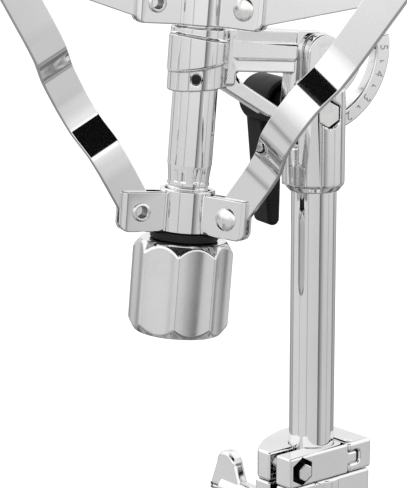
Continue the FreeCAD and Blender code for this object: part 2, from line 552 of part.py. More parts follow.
# Tilter yoke: socket on the tube with a proud shell behind, two round-topped cheeks and bolt bosses
zero = d.pivot_height
bolt_height = zero - d.tilt_bolt_drop
bolt_at = (0, bolt_height)
socket_low = zero - d.yoke_bottom
crown = zero - d.crown_drop
yoke_shell = common(
    "yoke_shell", rod("yoke_shell_round", d.shell_radius, socket_low + d.yoke_lip, zero - d.yoke_socket_top),
    block("yoke_shell_side", (-d.shell_radius, -d.shell_radius, socket_low), (-d.shell_edge,
                                                                              d.shell_radius, zero)))
yoke_shoulder = common(
    "yoke_shoulder", rod("yoke_shoulder_round", d.shell_radius, zero - d.yoke_socket_top,
                         zero - d.yoke_front_top),
    block("yoke_shoulder_side", (-d.shell_radius, -d.shell_radius, socket_low),
          (-d.shell_edge, -d.rib_half - d.air_gap, zero)))
yoke_front = cut(
    "yoke_front", fuse(
        "yoke_front_round",
        rod("yoke_front_column", d.yoke_socket_radius, zero - d.yoke_socket_top, zero - d.yoke_front_top),
        cone("yoke_front_taper", d.yoke_socket_radius, d.yoke_taper_radius, zero - d.yoke_front_top,
             zero - d.yoke_taper_top)),
    block("yoke_front_rear", (-d.shell_radius, 0, socket_low), (d.shell_radius, d.shell_radius, zero)),
    block("yoke_front_relief", (-d.shell_radius, -d.rib_half - d.air_gap, socket_low),
          (-d.cheek_left, 0, zero)))
yoke_items = [
    yoke_front,
    cone("yoke_lip", d.yoke_socket_radius - d.yoke_lip_inset, d.yoke_socket_radius, socket_low,
         socket_low + d.yoke_lip),
    rod("yoke_socket", d.yoke_socket_radius, socket_low + d.yoke_lip, zero - d.yoke_socket_top),
    yoke_shell,
    yoke_shoulder,
    block("yoke_cheeks", (-d.cheek_left, -d.cheek_half, zero - d.cheek_bottom),
          (d.cheek_right, d.cheek_half, bolt_height)),
    rod("yoke_boss", d.boss_radius, -d.boss_half, d.boss_half, bolt_at, "Y"),
    rod("yoke_crown", d.cheek_round, -d.cheek_half, d.cheek_half, (0, crown), "Y"),
    plate("yoke_neck", [
        (-d.cheek_left, bolt_height), (d.cheek_right, bolt_height), (d.cheek_right, zero - d.cheek_shoulder),
        (d.cheek_round, crown), (-d.cheek_round, crown)], d.cheek_half, "XZ_Plane")]
yoke_cuts = [
    block("yoke_slot", (-d.quadrant_radius, -d.cheek_gap, zero - d.slot_floor),
          (d.quadrant_radius, d.cheek_gap, zero + d.slot_floor)),
    rod("yoke_bore", d.upper_tube_radius + d.snug, socket_low - d.overrun, tube_top),
    rod("yoke_bolt_hole", d.tilt_bolt_radius + d.fit_gap, -d.boss_half - d.overrun, d.boss_half + d.overrun,
        bolt_at, "Y"),
    hexagon("yoke_head_pocket", d.head_pocket_across, -d.shell_radius - d.overrun, -d.boss_half, bolt_at, "Y",
            TWELFTH_TURN),
    rod("yoke_pin_hole", d.pivot_pin_radius + d.snug, -d.cheek_half - d.overrun, d.cheek_half + d.overrun,
        (0, zero), "Y")]
node("tilter_yoke", cut("tilter_yoke", fuse("yoke_body", *yoke_items), *yoke_cuts))
node("tilter_pivot_pin", rod("tilter_pivot_pin", d.pivot_pin_radius, -d.cheek_half, d.cheek_half,
                             (0, zero), "Y"))

# Tilt clamp bolt and black lever
node("tilt_bolt", fuse(
    "tilt_bolt", rod("tilt_bolt_shank", d.tilt_bolt_radius, -d.boss_half, d.lever_bolt_end, bolt_at, "Y"),
    hexagon("tilt_bolt_head", d.tilt_head_across, -d.boss_half - d.tilt_head_height, -d.boss_half, bolt_at,
            "Y",
            TWELFTH_TURN)))
lever_tip = bolt_height - d.lever_length
lever_mid = (d.lever_start + d.lever_end) / 2
lever_body = fuse(
    "lever_body",
    rod("lever_neck", d.lever_neck_radius, d.lever_neck_start, d.lever_hub_end, bolt_at, "Y"),
    rod("lever_hub", d.lever_hub_radius, d.lever_hub_start, d.lever_hub_end, bolt_at, "Y"),
    plate("lever_handle", [
        (-d.lever_root_half, bolt_height), (d.lever_tip_shift - d.lever_tip_half, lever_tip),
        (d.lever_tip_shift + d.lever_tip_half, lever_tip), (d.lever_root_half, bolt_height)],
        (d.lever_end - d.lever_start) / 2, "XZ_Plane", -lever_mid),
    rod("lever_tip", d.lever_tip_half, d.lever_start, d.lever_end, (d.lever_tip_shift, lever_tip), "Y"))
cup_end = d.lever_hub_start + d.lever_hub_recess
lever_cup = cut(
    "lever_cup",
    rod("lever_cup_out", d.lever_hub_radius - d.lever_hub_wall, d.lever_hub_start - d.overrun, cup_end,
        bolt_at, "Y"),
    rod("lever_cup_in", d.lever_neck_radius, d.lever_neck_start, d.lever_hub_end, bolt_at, "Y"))
lever_bore = rod("lever_bore", d.tilt_bolt_radius + d.fit_gap, d.lever_neck_start - d.overrun,
                 d.lever_bolt_end + d.fit_gap, bolt_at, "Y")
node("tilt_lever", cut("tilt_lever", lever_body, lever_cup, lever_bore))

# Basket arm casting in the basket frame, origin at the tilter pivot
post_at = (-d.post_offset, 0)
half = d.tongue_half
quadrant = turned(rod("quadrant_disc", d.quadrant_radius, -half, half, sweep=d.quadrant_sweep), 0)
quadrant.Placement = FreeCAD.Placement(FreeCAD.Vector(0, half.value, 0), FreeCAD.Rotation(X_AXIS,
        QUARTER_TURN)).multiply(
    FreeCAD.Placement(FreeCAD.Vector(), FreeCAD.Rotation(Z_AXIS,
                                                         d.quadrant_start.value - d.quadrant_sweep.value)))
slot_low = d.slot_radius - d.slot_half
slot_high = d.slot_radius + d.slot_half
slot_ring = cut("slot_ring", rod("slot_out", slot_high, -half - d.overrun, half + d.overrun,
                                 sweep=d.slot_sweep),
                rod("slot_in", slot_low, -half - d.overrun * 2, half + d.overrun * 2))
slot_ring.Placement = FreeCAD.Placement(FreeCAD.Vector(), FreeCAD.Rotation(X_AXIS, QUARTER_TURN)).multiply(
    FreeCAD.Placement(FreeCAD.Vector(), FreeCAD.Rotation(Z_AXIS, d.slot_start.value - d.slot_sweep.value)))
slot_end = d.slot_start - d.slot_sweep
slot_tools = [slot_ring]
for place, angle in (("top", d.slot_start), ("low", slot_end)):
    slot_tools.append(rod("slot_" + place, d.slot_half, -half - d.overrun, half + d.overrun,
                          (d.slot_radius * cosine(angle), d.slot_radius * sine(angle)), "Y"))
collar_left = -d.post_offset - d.band_radius
collar_right = d.band_radius - d.post_offset
casting_collar = cut(
    "casting_collar", rod("casting_sleeve", d.casting_radius, -d.casting_bottom, d.casting_top, post_at),
    plate("casting_under", [(collar_left, -d.casting_bottom), (collar_right, -d.casting_bottom),
                            (collar_right, d.casting_slant - d.casting_bottom)], d.band_radius, "XZ_Plane"))
casting_band = common(
    "casting_band", rod("casting_band_round", d.band_radius, -d.band_bottom, d.band_top, post_at),
    plate("casting_band_side", [(collar_left, -d.band_bottom), (collar_left, d.band_top),
                                (collar_right, d.rib_top), (collar_right, -d.rib_bottom)],
          d.band_radius, "XZ_Plane"))
casting_web = cut(
    "casting_web", block("casting_web_block", (-d.diagonal_left, -d.diagonal_half, -d.diagonal_left_low),
                         (-d.opening_start, d.diagonal_half, -d.beam_bottom)),
    rod("casting_web_round", d.opening_round, -d.diagonal_half - d.overrun, d.diagonal_half + d.overrun,
        (-d.opening_start, -d.beam_bottom - d.opening_round), "Y"))
flare_foot = -d.post_offset
casting_flare = plate("casting_flare", [
    (flare_foot + d.flare_in, d.flare_wide), (flare_foot + d.flare_mid, d.flare_mid_wide),
    (flare_foot + d.flare_end, d.beam_half), (flare_foot + d.flare_end, -d.beam_half),
    (flare_foot + d.flare_mid, -d.flare_mid_wide), (flare_foot + d.flare_in, -d.flare_wide)],
    (d.casting_top + d.flare_low) / 2, "XY_Plane", (d.casting_top - d.flare_low) / 2)
casting_items = [
    casting_flare,
    casting_web,
    casting_collar,
    casting_band,
    block("casting_beam", (-d.post_offset, -d.beam_half, -d.beam_bottom), (-d.beam_end, d.beam_half,
                                                                           d.beam_top)),
    block("casting_tongue", (-d.beam_end, -half, -d.beam_bottom), (0, half, d.beam_top)),
    block("casting_rib", (-d.post_offset, -d.rib_half, -d.rib_bottom), (-d.beam_end, d.rib_half, d.rib_top)),
    plate("casting_diagonal", [(-d.diagonal_left, -d.diagonal_left_low), (-d.diagonal_left,
                                                                          -d.diagonal_left_high),
                               (-d.diagonal_top, -d.diagonal_top_high), (-d.bridge_left,
                                                                         -d.diagonal_top_high),
                               (-d.bridge_left, -d.diagonal_right_low), (-d.diagonal_elbow,
                                                                         -d.diagonal_elbow_low)],
          d.diagonal_half, "XZ_Plane"),
    block("casting_bridge", (-d.bridge_left, -half, -d.diagonal_right_low), (0, half, 0)),
    rod("casting_crown", d.beam_top, -half, half, (0, 0), "Y"),
    quadrant]
screw_hole = rod("set_screw_hole", d.set_screw_radius + d.snug, 0, d.casting_radius + d.overrun, axis="X")
screw_hole.Placement = FreeCAD.Placement(
    FreeCAD.Vector(-d.post_offset.value, 0, -d.set_screw_drop.value),
    FreeCAD.Rotation(Z_AXIS, d.set_screw_turn.value)).multiply(FreeCAD.Placement(FreeCAD.Vector(),
                                                                                 ALONG["X"]))
for name in "xyz":
    screw_hole.setExpression("Placement.Base." + name, None)
casting_cuts = [
    rod("casting_bore", d.post_radius + d.snug, -d.casting_bottom - d.overrun, d.casting_top + d.overrun,
        post_at),
    rod("casting_pin_hole", d.pivot_pin_radius + d.fit_gap, -half - d.overrun, half + d.overrun, (0, 0), "Y"),
    screw_hole] + slot_tools
node("basket_arm", cut("basket_arm", fuse("casting_body", *casting_items), *casting_cuts), lean)
screw_start = d.post_radius + d.snug * 2
screw_end = screw_start + d.set_screw_length
screw = cut("collar_set_screw", rod("set_screw_body", d.set_screw_radius, screw_start, screw_end, axis="X"),
            hexagon("set_screw_key", d.set_screw_socket * 2, screw_end - d.set_screw_socket_depth,
                    screw_end + d.overrun, (0, 0), "X"))
node("collar_set_screw", screw, on_post.multiply(FreeCAD.Placement(
    FreeCAD.Vector(0, 0, -d.set_screw_drop.value), FreeCAD.Rotation(Z_AXIS, d.set_screw_turn.value))))

# Basket post: sleeve, slimmer stem and threaded rod
post_top = d.upper_pin + d.hub_half_height
node("basket_post", fuse(
    "basket_post", rod("post_sleeve", d.post_radius, -d.post_step, post_top),
    rod("post_stem", d.stem_radius, -d.stem_bottom, -d.post_step),
    rod("post_rod", d.rod_radius, -d.rod_bottom, -d.stem_bottom)), on_post)


# The third arm is the mirror image of the second, so both bend away from the tilter
HANDS = (1, 1, -1)


# A hub: a sleeve on the post with three forks, their cheeks joined by a small web below
def hub(label, pin_height, bore, shift, rise):
    low = pin_height - d.hub_half_height
    high = pin_height + d.hub_half_height
    out = d.fork_gap + d.fork_cheek
    items = [rod(label + "_sleeve", d.hub_sleeve, low, high + rise)]
    cuts = [rod(label + "_bore", bore, low - d.overrun, high + rise + d.overrun)]
    rivets = []
    for index in range(3):
        tag = "_%d" % (index + 1)
        turn = d.arm_turn.value + THIRD * index
        tangent = shift * HANDS[index]
        ends = []
        for side in (1, -1):
            face = tangent + out * side
            ends.append(plate(label + ("_end_ahead" if side > 0 else "_end_behind") + tag, [
                (d.fork_reach - d.fork_end_round, face),
                (d.fork_reach - d.fork_end_round, face + d.overrun * side),
                (d.fork_reach + d.overrun, face + d.overrun * side),
                (d.fork_reach + d.overrun, face - d.fork_end_depth * side),
                (d.fork_reach, face - d.fork_end_depth * side),
                (d.fork_reach - d.fork_end_round * d.fork_end_share,
                 face - d.fork_end_depth * d.fork_end_share * side)],
                d.hub_half_height + d.overrun, "XY_Plane", pin_height))
        fork = cut(label + "_fork" + tag,
                   block(label + "_lug" + tag, (0, tangent - out, low), (d.fork_reach, tangent + out, high)),
                   plate(label + "_corner" + tag, [
                       (d.fork_reach - d.fork_corner, low - d.overrun), (d.fork_reach + d.overrun,
                                                                         low - d.overrun),
                       (d.fork_reach + d.overrun, low + d.fork_corner), (d.fork_reach, low + d.fork_corner),
                       (d.fork_reach - d.fork_corner * d.fork_corner_share,
                        low + d.fork_corner * d.fork_corner_share),
                       (d.fork_reach - d.fork_corner, low)], out + d.overrun, "XZ_Plane", -tangent), *ends)
        gap = block(label + "_gap" + tag, (d.fork_root, tangent - d.fork_gap, low + d.web_rise),
                    (d.fork_reach + d.overrun, tangent + d.fork_gap, high + d.overrun))
        gap_low = block(label + "_throat" + tag, (d.fork_root, tangent - d.fork_gap, low - d.overrun),
                        (d.fork_reach - d.fork_corner - d.web_length, tangent + d.fork_gap, high))
        at = (d.pin_reach, pin_height)
        hole = rod(label + "_hole" + tag, d.rivet_radius + d.snug, tangent - out - d.overrun,
                   tangent + out + d.overrun, at, "Y")
        items.append(turned(fork, turn))
        cuts += [turned(gap, turn), turned(gap_low, turn), turned(hole, turn)]
        rivet = cut(label + "_rivet" + tag, fuse(
            label + "_rivet_solid" + tag,
            rod(label + "_shank" + tag, d.rivet_radius, tangent - out, tangent + out, at, "Y"),
            cone(label + "_dome" + tag, d.rivet_radius, d.rivet_head_radius,
                 tangent - out - d.rivet_head_height,
                 tangent - out, at, "Y"),
            rod(label + "_rolled" + tag, d.rolled_radius, tangent + out, tangent + out + d.rolled_height,
                at, "Y")),
            rod(label + "_rivet_bore" + tag, d.rivet_bore,
                tangent + out + d.rolled_height - d.rivet_bore_depth,
                tangent + out + d.rolled_height + d.overrun, at, "Y"))
        rivets.append(turned(rivet, turn))
    node(label, cut(label, fuse(label + "_body", *items), *cuts), on_post)
    rivet_set = doc.addObject("Part::Compound", label + "_rivets")
    rivet_set.Links = rivets
    node(label + "_rivets", rivet_set, on_post)


arm_to_rivet = (d.upper_pin + d.lower_pin) / (
    cosine(d.arm_angle) - sine(d.arm_angle) * sine(d.strut_rise) / cosine(d.strut_rise))
arm_length = arm_to_rivet + d.arm_past_rivet
strut_length = arm_to_rivet * sine(d.arm_angle) / cosine(d.strut_rise)
strut_side = (d.arm_thickness + d.strut_thickness) / 2 + d.fit_gap
hub("upper_hub", d.upper_pin, d.post_radius + d.snug, d.strut_shift, size(0))
hub("lower_hub", -d.lower_pin, d.post_radius + d.hub_slide_gap, size(0), d.sleeve_rise)

# Arms with a sideways jog, struts beside them, cross rivets and rubber grips
half_width = d.arm_width / 2
half_strut = d.strut_width / 2
half_thick = d.arm_thickness / 2
arm_upper = d.strut_shift - strut_side
jog_path = [(d.arm_bar_start, size(0)), (d.jog_start, size(0)), (d.jog_first, -d.jog * d.jog_half_share),
            (d.jog_full, -d.jog), (d.jog_hold, -d.jog), (d.jog_last, (arm_upper - d.jog) * d.jog_half_share),
            (d.jog_end, arm_upper),
            (arm_length - half_width, arm_upper)]
grip_start = arm_length - d.grip_overlap
grip_seat = arm_length + d.grip_seat_past
grip_prong = arm_length + d.grip_prong_past
for index, hand in enumerate(HANDS):
    tag = "_%d" % (index + 1)
    turn = d.arm_turn.value + THIRD * index
    level = arm_upper * hand
    jog_outline = [(along, side * hand + half_thick) for along, side in jog_path]
    jog_outline += [(along, side * hand - half_thick) for along, side in reversed(jog_path)]
    arm_frame = bar_frame(on_post, turn, d.pin_reach, -d.lower_pin, d.arm_angle)
    strut_frame = bar_frame(on_post, turn, d.pin_reach, d.upper_pin, QUARTER_TURN - d.strut_rise)
    arm_body = fuse("arm_body" + tag, plate("arm_bar" + tag, jog_outline, half_width, "XZ_Plane"),
                    rod("arm_low_end" + tag, d.arm_end_radius, -half_thick, half_thick),
                    rod("arm_high_end" + tag, half_width, level - half_thick, level + half_thick,
                        (arm_length - half_width, 0)))
    arm = node("arm" + tag, cut(
        "arm" + tag, arm_body,
        rod("arm_low_hole" + tag, d.rivet_radius + d.arm_play, -d.arm_thickness, d.arm_thickness),
        rod("arm_cross_hole" + tag, d.cross_rivet_radius + d.fit_gap, level - d.arm_thickness,
            level + d.arm_thickness, (arm_to_rivet, 0))), arm_frame)
    strut_low = d.strut_shift * hand - d.strut_thickness / 2
    strut_high = d.strut_shift * hand + d.strut_thickness / 2
    pin_low = level - half_thick - d.fit_gap if hand > 0 else strut_low
    pin_high = strut_high if hand > 0 else level + half_thick + d.fit_gap
    strut_bar = block("strut_bar" + tag, (0, -half_strut, strut_low), (strut_length, half_strut, strut_high))
    strut_body = fuse("strut_body" + tag, strut_bar,
                      rod("strut_low_end" + tag, half_strut, strut_low, strut_high),
                      rod("strut_high_end" + tag, half_strut, strut_low, strut_high, (strut_length, 0)))
    node("strut" + tag, cut(
        "strut" + tag, strut_body,
        rod("strut_low_hole" + tag, d.rivet_radius + d.fit_gap, strut_low - d.overrun,
            strut_high + d.overrun),
        rod("strut_cross_hole" + tag, d.cross_rivet_radius + d.snug, strut_low - d.overrun,
            strut_high + d.overrun,
            (strut_length, 0))), strut_frame)
    node("arm_rivet" + tag, fuse(
        "arm_rivet" + tag,
        rod("cross_pin" + tag, d.cross_rivet_radius, pin_low, pin_high, (strut_length, 0)),
        cone("cross_head" + tag, d.cross_head_radius, d.cross_rivet_radius, pin_high,
             pin_high + d.cross_head_height, (strut_length, 0)),
        cone("cross_tail" + tag, d.cross_rivet_radius, d.cross_head_radius,
             pin_low - d.cross_head_height, pin_low,
             (strut_length, 0))), strut_frame)
    grip_blank = plate("grip_blank" + tag, [
        (grip_start, -d.grip_half_width), (grip_seat - d.grip_bevel, -d.grip_half_width),
        (grip_seat, d.grip_bevel - d.grip_half_width), (grip_seat, d.grip_prong_in),
        (grip_prong, d.grip_prong_tip_in), (grip_prong, d.grip_prong_out),
        (grip_prong - d.grip_tip, d.grip_half_width), (grip_start, d.grip_half_width)], d.grip_half_thick,
        "XY_Plane", level)
    grip_blank.Placement = arm_frame
    node("grip" + tag, cut("grip" + tag, grip_blank, arm))

# Knob: a turned blank with eight shallow scallops, bored for the stem and the rod
knob_blank = fuse(
    "knob_blank",
    cone("knob_foot", d.knob_radius - d.knob_base_inset, d.knob_radius, -d.knob_bottom,
         d.knob_base - d.knob_bottom),
    rod("knob_drum", d.knob_radius, d.knob_base - d.knob_bottom, -d.knob_top - d.knob_rim),
    cone("knob_rim", d.knob_radius, d.knob_radius - d.knob_rim_inset, -d.knob_top - d.knob_rim, -d.knob_top))
knob_cuts = [rod("knob_bore", d.knob_bore, -d.knob_top - d.knob_bore_depth, d.overrun - d.knob_top),
             rod("knob_thread", d.rod_radius + d.knob_thread_gap, -d.knob_top - d.knob_thread_depth,
                 -d.knob_top)]
for index in range(int(d.scallops.value)):
    scallop = rod("knob_scallop_%d" % index, d.scallop_radius, -d.knob_bottom - d.overrun,
                  d.overrun - d.knob_top,
                  (d.knob_radius - d.scallop_depth + d.scallop_radius, 0))
    knob_cuts.append(turned(scallop, d.knob_turn.value + FULL_TURN / d.scallops.value * index))
node("knob", cut("knob", knob_blank, *knob_cuts), on_post)
node("knob_washer", cut(
    "knob_washer", rod("rubber_disc", d.washer_outer, -d.rubber_washer_bottom, -d.rubber_washer_top),
    rod("rubber_hole", d.knob_bore, -d.rubber_washer_bottom - d.overrun, d.overrun - d.rubber_washer_top)),
    on_post)

# Check every object, then write one file for each piece
doc.recompute()
for item in doc.Objects:
    if "Invalid" in item.State or "Error" in item.State:
        raise RuntimeError("failed object: " + item.Name)
os.makedirs("parts", exist_ok=True)
for label, item in nodes.items():
    if item.Shape.isNull() or not item.Shape.isValid() or not item.Shape.Solids:
        raise RuntimeError("bad shape: " + label)
for label, item in nodes.items():
    item.Shape.exportStep("parts/%s.step" % label)
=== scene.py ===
import math

import bpy
from mathutils import Matrix, Vector


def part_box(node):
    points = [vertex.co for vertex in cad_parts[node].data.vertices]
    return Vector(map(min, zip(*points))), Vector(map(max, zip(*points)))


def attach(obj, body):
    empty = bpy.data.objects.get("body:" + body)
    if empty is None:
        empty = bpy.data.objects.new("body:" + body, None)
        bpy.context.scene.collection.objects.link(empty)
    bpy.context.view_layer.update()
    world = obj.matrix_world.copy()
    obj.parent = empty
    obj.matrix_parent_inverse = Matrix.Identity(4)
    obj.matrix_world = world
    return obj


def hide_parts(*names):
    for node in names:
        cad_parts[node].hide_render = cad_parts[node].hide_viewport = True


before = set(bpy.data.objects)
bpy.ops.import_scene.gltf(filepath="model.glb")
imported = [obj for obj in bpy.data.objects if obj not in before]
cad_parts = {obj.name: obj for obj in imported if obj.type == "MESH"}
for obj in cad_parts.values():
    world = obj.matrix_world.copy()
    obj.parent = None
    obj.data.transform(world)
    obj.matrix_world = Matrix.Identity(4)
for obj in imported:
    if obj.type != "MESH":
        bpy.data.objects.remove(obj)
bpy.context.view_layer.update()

scene = bpy.context.scene

# Base tube and height tube: two drawn steel tubes, polished and chrome plated.
# The height tube slides in the base tube. Their ends are turned over a little, so that no sharp rim shows.
BASE_RADIUS, BASE_BORE = 14.3, 13.1
UPPER_RADIUS, UPPER_BORE = 12.7, 11.2
TUBE_LIP = 0.5
TUBE_STEPS = 96
MM = Matrix.Scale(0.001, 4)


class Wire:
    """A shader socket that takes part in Python expressions."""

    def __init__(self, tree, socket):
        self.tree = tree
        self.socket = socket

    def math(self, operation, first, second):
        return self.tree.add("ShaderNodeMath", {"operation": operation}, (first, second))

    def __add__(self, other):
        return self.math("ADD", self, other)

    def __sub__(self, other):
        return self.math("SUBTRACT", self, other)

    def __rsub__(self, other):
        return self.math("SUBTRACT", other, self)

    def __mul__(self, other):
        return self.math("MULTIPLY", self, other)

    def __truediv__(self, other):
        return self.math("DIVIDE", self, other)

    __radd__ = __add__
    __rmul__ = __mul__


class Tree:
    """A node tree with one method that makes nodes."""

    def __init__(self, owner):
        owner.use_nodes = True
        self.nodes = owner.node_tree.nodes
        self.links = owner.node_tree.links

    def add(self, kind, settings=None, inputs=(), output=0):
        node = self.nodes.new(kind)
        for name, value in (settings or {}).items():
            if name == "stops":
                ramp = node.color_ramp
                while len(ramp.elements) < len(value):
                    ramp.elements.new(1.0)
                for element, (place, level) in zip(ramp.elements, value):
                    element.position = place
                    element.color = (level, level, level, 1.0)
            else:
                setattr(node, name, value)
        pairs = inputs.items() if isinstance(inputs, dict) else enumerate(inputs)
        for key, value in pairs:
            self.join(node.inputs[key], value)
        return Wire(self, node.outputs[output])

    def join(self, socket, value):
        if isinstance(value, Wire):
            self.links.new(value.socket, socket)
        else:
            socket.default_value = value


def rise(tree, value, start, end):
    """A smooth step from 0 at start to 1 at end."""
    return tree.add("ShaderNodeMapRange", {"interpolation_type": "SMOOTHSTEP"},
                    {"Value": value, "From Min": start, "From Max": end})


def grey(level, warm=0.0):
    return (level + warm, level, level - warm)


def finish(name, metal, tones, rough, wave, grain, bump, sheen=0.5):
    """A skin with a slow cloud and a fine grain between two tones and two roughnesses."""
    material = bpy.data.materials.new(name)
    tree = Tree(material)
    shader = tree.nodes["Principled BSDF"]
    shader.inputs["Metallic"].default_value = metal
    shader.inputs["Specular IOR Level"].default_value = sheen
    coords = tree.add("ShaderNodeTexCoord", None, (), "Object")
    cloud = tree.add("ShaderNodeTexNoise", None, {"Vector": coords, "Scale": wave, "Detail": 3.0})
    skin = tree.add("ShaderNodeTexNoise", None, {"Vector": coords, "Scale": grain, "Detail": 5.0})
    blend = cloud * 0.6 + skin * 0.4
    dark, light = tones
    smooth, dull = rough
    tone = tree.add("ShaderNodeMix", {"data_type": "RGBA"}, {
        "Factor": rise(tree, blend, 0.35, 0.65), "A": (*dark, 1.0), "B": (*light, 1.0)}, "Result")
    tree.join(shader.inputs["Base Color"], tone)
    tree.join(shader.inputs["Roughness"], rise(tree, blend, 0.3, 0.7) * (dull - smooth) + smooth)
    strength, distance = bump
    relief = tree.add("ShaderNodeBump", None,
                      {"Strength": strength, "Distance": distance, "Height": skin}, "Normal")
    tree.join(shader.inputs["Normal"], relief)
    return material


CHROME = finish("chrome_plate", 1.0, (grey(0.76), grey(0.80)), (0.035, 0.075), 18, 900, (0.03, 0.00004))


def begin():
    if bpy.context.object and bpy.context.object.mode != "OBJECT":
        bpy.ops.object.mode_set(mode="OBJECT")
    bpy.ops.object.select_all(action="DESELECT")


def activate(piece):
    begin()
    piece.select_set(True)
    bpy.context.view_layer.objects.active = piece


def apply_modifier(piece, kind, **settings):
    activate(piece)
    modifier = piece.modifiers.new(kind.lower(), kind)
    for name, value in settings.items():
        setattr(modifier, name, value)
    bpy.ops.object.modifier_apply(modifier=modifier.name)


def smooth_flats(piece):
    activate(piece)
    bpy.ops.object.shade_smooth()
    apply_modifier(piece, "WEIGHTED_NORMAL", weight=100, keep_sharp=True, use_face_influence=True)


def tidy_normals(piece):
    activate(piece)
    bpy.ops.object.mode_set(mode="EDIT")
    bpy.ops.mesh.select_all(action="SELECT")
    bpy.ops.mesh.remove_doubles(threshold=0.0001)
    bpy.ops.mesh.normals_make_consistent(inside=False)
    bpy.ops.object.mode_set(mode="OBJECT")


def lathe(profile, steps):
    """A turned piece: one point drawn out along the profile and spun about the local Z axis."""
    begin()
    bpy.ops.mesh.primitive_plane_add(size=1)
    piece = bpy.context.object
    bpy.ops.object.mode_set(mode="EDIT")
    bpy.ops.mesh.select_mode(type="VERT")
    bpy.ops.mesh.select_all(action="SELECT")
    bpy.ops.mesh.merge(type="CENTER")
    (radius, height), *rest = profile
    bpy.ops.transform.translate(value=(radius, 0, height))
    for next_radius, next_height in rest:
        step = (next_radius - radius, 0, next_height - height)
        bpy.ops.mesh.extrude_region_move(TRANSFORM_OT_translate={"value": step})
        radius, height = next_radius, next_height
    bpy.ops.mesh.select_all(action="SELECT")
    bpy.ops.mesh.spin(steps=steps, angle=2 * math.pi, center=(0, 0, 0), axis=(0, 0, 1))
    bpy.ops.object.mode_set(mode="OBJECT")
    tidy_normals(piece)
    return piece


def settle(piece, place):
    """Put a piece modelled in millimetres into its place in the stand."""
    activate(piece)
    piece.matrix_world = place @ MM
    bpy.ops.object.transform_apply(location=True, rotation=True, scale=True)


def enlist(piece, name, material, body, slot, *replaced):
    """Name a piece, give it its finish, hang it on the body it rides on, and hide the solids it stands in
    for.
    """
    piece.name = name
    piece.data.name = name
    piece.data.materials.clear()
    piece.data.materials.append(material)
    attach(piece, body)
    if replaced:
        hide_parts(*replaced)
    return piece


def tube(node, radius, bore):
    low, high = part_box(node)
    bottom, top = low.z * 1000, high.z * 1000
    piece = lathe([(bore, bottom + TUBE_LIP), (bore + TUBE_LIP, bottom), (radius - TUBE_LIP, bottom),
                   (radius, bottom + TUBE_LIP), (radius, top - TUBE_LIP), (radius - TUBE_LIP, top),
                   (bore + TUBE_LIP, top), (bore, top - TUBE_LIP), (bore, bottom + TUBE_LIP)], TUBE_STEPS)
    smooth_flats(piece)
    settle(piece, Matrix.Identity(4))
    return piece


base_tube = tube("base_tube", BASE_RADIUS, BASE_BORE)
enlist(base_tube, "base_tube_plated", CHROME, "base", "chrome", "base_tube")
upper_tube = tube("upper_tube", UPPER_RADIUS, UPPER_BORE)
enlist(upper_tube, "height_tube_plated", CHROME, "upper", "chrome", "upper_tube")

# Tripod: a cast spider fixed on the base tube, a cast collar that slides on it, three legs pressed into
# channels and three flat braces, all plated. Steel rivets hinge them together, and the legs stand in
# moulded rubber feet.
CAST = finish("cast_chrome", 1.0, (grey(0.74), grey(0.79)), (0.05, 0.11), 30, 700, (0.05, 0.00006))
STEEL = finish("zinc_steel", 1.0, (grey(0.70, 0.004), grey(0.78, 0.004)), (0.12, 0.22), 160, 1600,
               (0.12, 0.0001))
RUBBER = finish("black_rubber", 0.0, (grey(0.005), grey(0.010)), (0.5, 0.7), 90, 2400, (0.35, 0.0002), 0.25)
SPIDER_EDGE, COLLAR_EDGE, WING_SCREW_EDGE = 0.8, 1.0, 1.2
LEG_EDGE, BRACE_EDGE, LEG_PIN_EDGE, FOOT_EDGE = 0.5, 0.8, 0.4, 2.2


def blank(node):
    """A copy of a solid's mesh with its flat faces made whole."""
    begin()
    piece = bpy.data.objects.new(node + "_rounded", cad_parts[node].data.copy())
    scene.collection.objects.link(piece)
    activate(piece)
    bpy.ops.object.mode_set(mode="EDIT")
    bpy.ops.mesh.select_all(action="SELECT")
    bpy.ops.mesh.remove_doubles(threshold=0.000002)
    bpy.ops.mesh.dissolve_limited(angle_limit=math.radians(1.0))
    bpy.ops.object.mode_set(mode="OBJECT")
    return piece


def round_edges(piece, width, segments=3, angle=30):
    apply_modifier(piece, "BEVEL", width=width, segments=segments, limit_method="ANGLE",
                   angle_limit=math.radians(angle), use_clamp_overlap=False, miter_outer="MITER_ARC",
                   face_strength_mode="FSTR_ALL", loop_slide=False)


def dress(node, name, material, body, slot, edge, segments=3, angle=30, stays_sharp=None):
    """Stand a copy of a solid in for it, with its edges rounded as the polished piece has them."""
    piece = blank(node)
    if stays_sharp:
        bpy.ops.object.mode_set(mode="EDIT")
        bpy.ops.mesh.select_mode(type="EDGE")
        bpy.ops.mesh.select_all(action="DESELECT")
        bpy.ops.mesh.edges_select_sharp(sharpness=math.radians(angle))
        bpy.ops.object.mode_set(mode="OBJECT")
        for line in piece.data.edges:
            ends = [piece.data.vertices[index].co for index in line.vertices]
            line.select = line.select and not all(stays_sharp(end) for end in ends)
        bpy.ops.object.mode_set(mode="EDIT")
        bpy.ops.mesh.bevel(offset=edge * 0.001, offset_type="OFFSET", segments=segments, affect="EDGES",
                           clamp_overlap=False, miter_outer="ARC", loop_slide=False)
        bpy.ops.object.mode_set(mode="OBJECT")
    else:
        round_edges(piece, edge * 0.001, segments, angle)
    smooth_flats(piece)
    return enlist(piece, name, material, body, slot, node)


